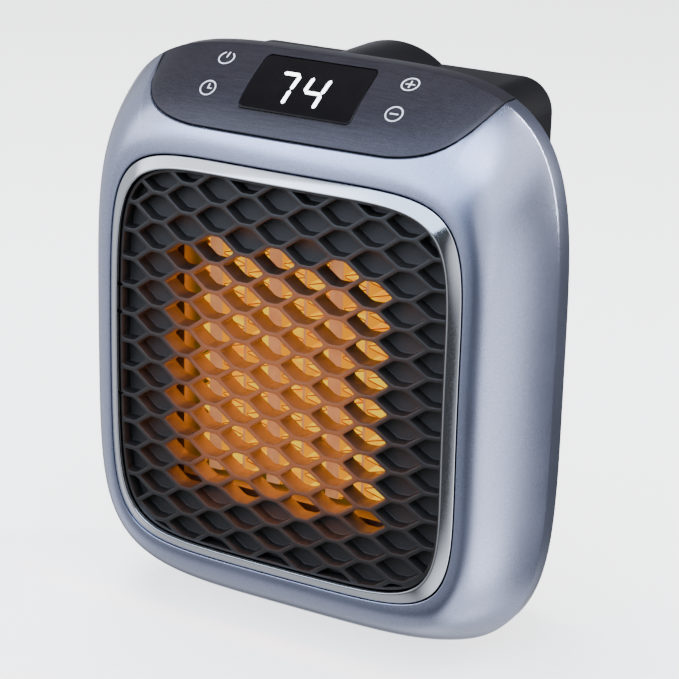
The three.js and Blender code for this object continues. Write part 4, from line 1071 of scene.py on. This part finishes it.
# How far each row lies from the blade's middle plane, and the hole's radius there, or 0 and how
# much the outline is drawn in: up one side of the hole, over the blade's edge and back.
blade_flat = blade_half_thickness - blade_edge
hole_mouth = blade_hole_radius + 0.1
blade_section = (
    (-blade_flat, blade_hole_radius, 0), (-blade_half_thickness, hole_mouth, 0),
    (-blade_half_thickness, 0, 0.18), (-blade_flat, 0, 0), (blade_flat, 0, 0),
    (blade_half_thickness, 0, 0.18), (blade_half_thickness, hole_mouth, 0),
    (blade_flat, blade_hole_radius, 0), (-blade_flat, blade_hole_radius, 0))
for name, x, width in (("live_blade", -blade_spacing / 2, 6.35),
                       ("neutral_blade", blade_spacing / 2, 7.9)):
    half, nose = width / 2, blade_end - blade_nose
    line = [Vector((-half, flange_front)), Vector((half, flange_front))]
    line += rounded(Vector((half, nose)), Vector((half, blade_end)),
                    Vector((half - blade_nose, blade_end)), 5)
    line += rounded(Vector((blade_nose - half, blade_end)), Vector((-half, blade_end)),
                    Vector((-half, nose)), 5)
    middle = Vector((0, blade_end - blade_hole_inset))
    ways = ways_to(line, middle, count=32, digits=5)
    rows = []
    for across, hole, drawn_in in blade_section:
        points = [middle + way * (hole or max(ray_reach(line, middle, way) - drawn_in, 1.6))
                  for way in ways]
        rows.append([(x + across, p.y, turret_height + p.x) for p in points])
    blade = skin(name + "_plated", rows, sharp=35)
    fit(blade, "plug", "brass", name)
    dress(blade, nickel)

# ------------------------------------------------------------------ Pieces kept from the CAD
# Inside the case, seen only through the slots: boards, motor, duct, screws, leads and contacts.
# Their forms are right as they are, so each keeps its solid and gets its own finish.
kept_finishes = (
    (("black_heatproof_polyester", "#1c1b1c", "#2b2a2b", 900.0, 0.55, 0.15), {"IOR": 1.58},
     ("element_frame", "fan_duct", "motor_spider", "relay")),
    (("zinc_plated_steel", "#8f9297", "#b9bcc0", 700.0, 0.34, 0.1), {"Metallic": 1.0},
     ("motor_shaft", "fan_motor", "thermal_cutout", "duct_screw", "motor_screw",
      "housing_screw", "retainer_screw", "board_screw", "touch_pad")),
    (("stamped_brass", "#a8823a", "#d0a95c", 500.0, 0.3, 0.1), {"Metallic": 1.0},
     ("element_terminal", "outer_slip_ring", "inner_slip_ring", "contact_wiper")),
    (("green_circuit_board", "#174a2e", "#226840", 350.0, 0.42, 0.1), {"IOR": 1.55},
     ("main_board", "control_board")),
    (("natural_nylon", "#cfcabb", "#e2ded2", 400.0, 0.5, 0.12), {"IOR": 1.53},
     ("plug_retainer", "filter_capacitor", "terminal_block")),
    (("red_silicone_lead", "#8c2119", "#ad3428", 600.0, 0.5, 0.1), {"IOR": 1.41},
     ("element_lead", "motor_lead", "switch_lead")),
    (("smoked_display_block", "#0b0a0b", "#151314", 500.0, 0.2, 0.05), {"IOR": 1.49},
     ("display_module",)),
    (("black_fan_polypropylene", "#232325", "#333336", 800.0, 0.45, 0.1), {"IOR": 1.49},
     ("fan_impeller",)),
)
for look, shader, kinds in kept_finishes:
    material = grained(*look, **shader)
    for node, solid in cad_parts.items():
        if node.rstrip("_0123456789") in kinds:
            dress(solid, material)

# ------------------------------------------------------------------ Rocker switch
# A power switch snapped into the left wall: a flanged bezel moulded in black nylon, and a glossy
# rocker that tips on two pins in the bezel's well.
switch_face = -box_half_width
switch_depth = 44.7
switch_height = -26
switch_half_width = 6.3
switch_half_length = 10.5
switch_body = 12
switch_corner = 0.9
bezel_wall = 1.3
bezel_flange = 1.6
bezel_seat = 0.3
bezel_rise = 1.7
bezel_edge = 0.4
rocker_section = ((2.6, -7.2), (2.6, 7.2), (-3.4, 8.2), (-2.1, 0), (-3.4, -8.2))
rocker_half_width = 4.5
rocker_corner = 1.0
rocker_edge = 0.38
rocker_tilt = radians(8)
pin_radius = 1.0
pin_half_length = 5.65
pin_gap = 0.3
pin_bore_half_length = 7.3


def switch_row(grow, reach):
    """The switch's outline seen from the side, grown, and so far in from the housing's wall."""
    line = rounded_box(switch_half_width + grow, switch_half_length + grow,
                       -switch_half_length - grow, switch_corner + grow / 2, 6)
    return [(switch_face + reach, switch_depth + p.x, switch_height + p.y) for p in line]


def pin_line(name, radius, half_length):
    """A bar along the axis on which the rocker tips."""
    bar = bmesh.new()
    cut_round(bar, radius, switch_depth - half_length, switch_depth + half_length, switch_face,
              switch_height)
    return made(name, bar)


bezel = skin("switch_bezel_moulding", [switch_row(*point) for point in eased([
    (0, switch_body), (0, -bezel_seat), (bezel_flange, -bezel_seat),
    (bezel_flange, -bezel_rise), (-bezel_wall, -bezel_rise),
    (-bezel_wall, switch_body - bezel_wall)], bezel_edge, 4)], (True, True))
bezel = carved(bezel, 35, ("DIFFERENCE", pin_line("pin_bore", pin_radius + pin_gap,
                                                  pin_bore_half_length)))
fit(bezel, "housing", "housing_black", "switch_bezel")

outline = filleted([Vector(point) for point in rocker_section], rocker_corner, 5)
flank = rounded(Vector((rocker_edge, -rocker_half_width)), Vector((0, -rocker_half_width)),
                Vector((0, rocker_edge - rocker_half_width)))
rocker_rows = []
for shrink, depth in flank + [Vector((shrink, -depth)) for shrink, depth in flank[::-1]]:
    row = []
    for before, point, after in zip(outline[-1:] + outline, outline, outline[1:] + outline[:1]):
        run = (after - before).normalized()
        x, z = point + Vector((-run.y, run.x)) * shrink
        row.append((switch_face + x * cos(rocker_tilt) + z * sin(rocker_tilt),
                    switch_depth + depth,
                    switch_height + z * cos(rocker_tilt) - x * sin(rocker_tilt)))
    rocker_rows.append(row)
rocker = skin("power_rocker_moulding", rocker_rows, (True, True))
rocker = carved(rocker, 35, ("UNION", pin_line("pins", pin_radius, pin_half_length)))
fit(rocker, "rocker", "housing_black", "power_rocker")

# Nylon from a fine-grained mould for the bezel, and a polished one for the rocker: the eye gets a
# dull frame round a key with a soft gloss.
dress(bezel, grained("black_nylon_bezel", "#151416", "#201f22", 900.0, 0.45, 0.1, IOR=1.53))
dress(rocker, grained("gloss_black_rocker", "#141316", "#1e1d20", 900.0, 0.3, 0.08, IOR=1.53))

# ------------------------------------------------------------------ Floor, light and camera
# A pale floor under soft studio light: a big soft box in front, one overhead, a strip behind on
# the right that draws the bright line along the crest, soft reflectors all round for the metal to
# mirror, and two small warm lamps that carry the element's glow to the grille.
floor_mesh = bmesh.new()
bmesh.ops.create_grid(floor_mesh, x_segments=24, y_segments=24, size=4.0)
bmesh.ops.translate(floor_mesh, verts=floor_mesh.verts, vec=(0, 0, cad_size[0][2] - 0.0005))
studio_floor = made("studio_floor", floor_mesh)
dress(studio_floor, grained("pale_lit_floor", "#f0f0f1", "#f6f6f7", 3.0, 0.9, uneven=0,
                            detail=3.0, glow=2.1, Specular_IOR_Level=0.1))
# The reflectors stand in for the floor in everything but the picture itself.
studio_floor.visible_glossy = studio_floor.visible_diffuse = studio_floor.visible_shadow = False

studio = bpy.data.worlds.new("soft_studio")
studio.use_nodes = True
tree = studio.node_tree
tree.nodes.clear()
direction = wire(tree, "TexCoord").outputs["Generated"]
# Each reflector: where it hangs, the angles at which it is full and gone, and how bright it is.
reflectors = (
    ((-0.95, -0.05, -0.05), 24, 52, 0.8), ((0.93, -0.15, -0.36), 13, 36, 1.8),
    ((0.55, -0.15, -0.82), 20, 40, 1.6), ((0.10, 0.50, -0.86), 12, 34, 0.8),
    ((-0.50, 0.00, -0.87), 15, 38, 0.6), ((-0.30, -0.90, -0.30), 14, 36, 0.3),
    ((-0.48, -0.87, 0.04), 6, 22, 0.9), ((-0.45, 0.86, -0.25), 12, 28, 1.2),
    ((0.77, -0.58, 0.15), 10, 28, 1.35), ((0.82, -0.10, 0.57), 12, 32, 1.9),
    ((0.37, -0.33, 0.87), 10, 26, 2.5), ((-0.70, -0.56, 0.44), 15, 27, 2.2),
)
shine = 0.08
for towards, full, gone, strength in reflectors:
    share = wire(tree, "VectorMath", direction, Vector(towards).normalized(),
        operation="DOT_PRODUCT")
    fade = wire(tree, "MapRange", Value=share.outputs["Value"], From_Min=cos(radians(gone)),
        From_Max=cos(radians(full)), To_Max=strength, interpolation_type="SMOOTHSTEP")
    shine = wire(tree, "Math", fade, shine, operation="ADD")
around = wire(tree, "Background", Color=linear("#ecf0f8"), Strength=shine)
paper = wire(tree, "Background", Color=linear("#f6f6f7"), Strength=2.8)
seen = wire(tree, "MixShader", wire(tree, "LightPath").outputs["Is Camera Ray"], around, paper)
wire(tree, "OutputWorld", Surface=seen)
bpy.context.scene.world = studio


def hung(thing, middle, *axes):
    """Puts a light or a camera in the scene, at a place and turned to three axes."""
    piece = bpy.data.objects.new(thing.name, thing)
    piece.matrix_world = Matrix.Translation(middle) @ Matrix(axes).transposed().to_4x4()
    bpy.context.scene.collection.objects.link(piece)
    return piece


def soft_box(name, towards, along, shift, distance, size, power, colour="#ffffff"):
    """A soft light facing the heater, its long side along a direction, moved by a shift."""
    light = bpy.data.lights.new(name, "AREA")
    light.shape, light.size, light.size_y = "RECTANGLE", size[0], size[1]
    light.energy, light.color = power, linear(colour)[:3]
    way = Vector(towards).normalized()
    side = way.cross(Vector(along)).normalized()
    along = side.cross(way)
    middle = place((0, 10, 5)) + (way + along * shift[0] + side * shift[1]) * distance
    return hung(light, middle, along, side, way)


def warm_lamp(name, facing, depth, size, power, colour):
    """A small lamp in the middle of the grille's opening, which moves with the element."""
    lamp = soft_box(name, (0, facing, 0), (1, 0, 0), (0, 0), 0.001, size, power, colour)
    lamp.location = place((0, depth, 0))
    lamp.parent = heater_bars
    lamp.matrix_parent_inverse = heater_bars.matrix_world.inverted()
    return lamp


soft_box("key_box", (-0.068, -0.72, 0.691), (0.736, 0.432, 0.522), (0.275, -0.047), 0.7,
         (1.5, 0.65), 11.5, "#cce0fe")
soft_box("crest_strip", (0.695, 0.544, 0.469), (-0.369, -0.289, 0.883), (0, 0), 0.8,
         (0.95, 0.07), 6.5)
for lamp in (soft_box("top_box", (-0.35, 0.15, 0.92), (0, 1, 0), (0, 0), 0.9, (0.5, 0.5), 13),
             warm_lamp("element_glow", 1, 10.9, (0.046, 0.052), 0.95, "#ff8a30"),
             warm_lamp("grille_glow", -1, -10, (0.05, 0.056), 0.3, "#ff9238")):
    lamp.visible_camera = lamp.visible_glossy = False

# The camera stands where the photograph was taken from, and leans as it did.
azimuth, elevation, lean = radians(30.16), radians(18.98), radians(1.38)
camera_distance, focal_pixels, image_width, film_width = 574.64, 2330, 679, 36
off_right, off_up = 14.64, 9.56
back = Vector((sin(azimuth) * cos(elevation), -cos(azimuth) * cos(elevation), sin(elevation)))
right = Vector((cos(azimuth), sin(azimuth), 0))
up = back.cross(right)
image_right = right * cos(lean) + up * sin(lean)
image_up = up * cos(lean) - right * sin(lean)
camera = bpy.data.cameras.new("product_camera")
camera.sensor_width, camera.sensor_fit = film_width, "HORIZONTAL"
camera.lens = focal_pixels * film_width / image_width
camera.clip_start, camera.clip_end = 0.02, 20
eye = place(back * camera_distance + image_right * off_right + image_up * off_up)
bpy.context.scene.camera = hung(camera, eye, image_right, image_up, back)
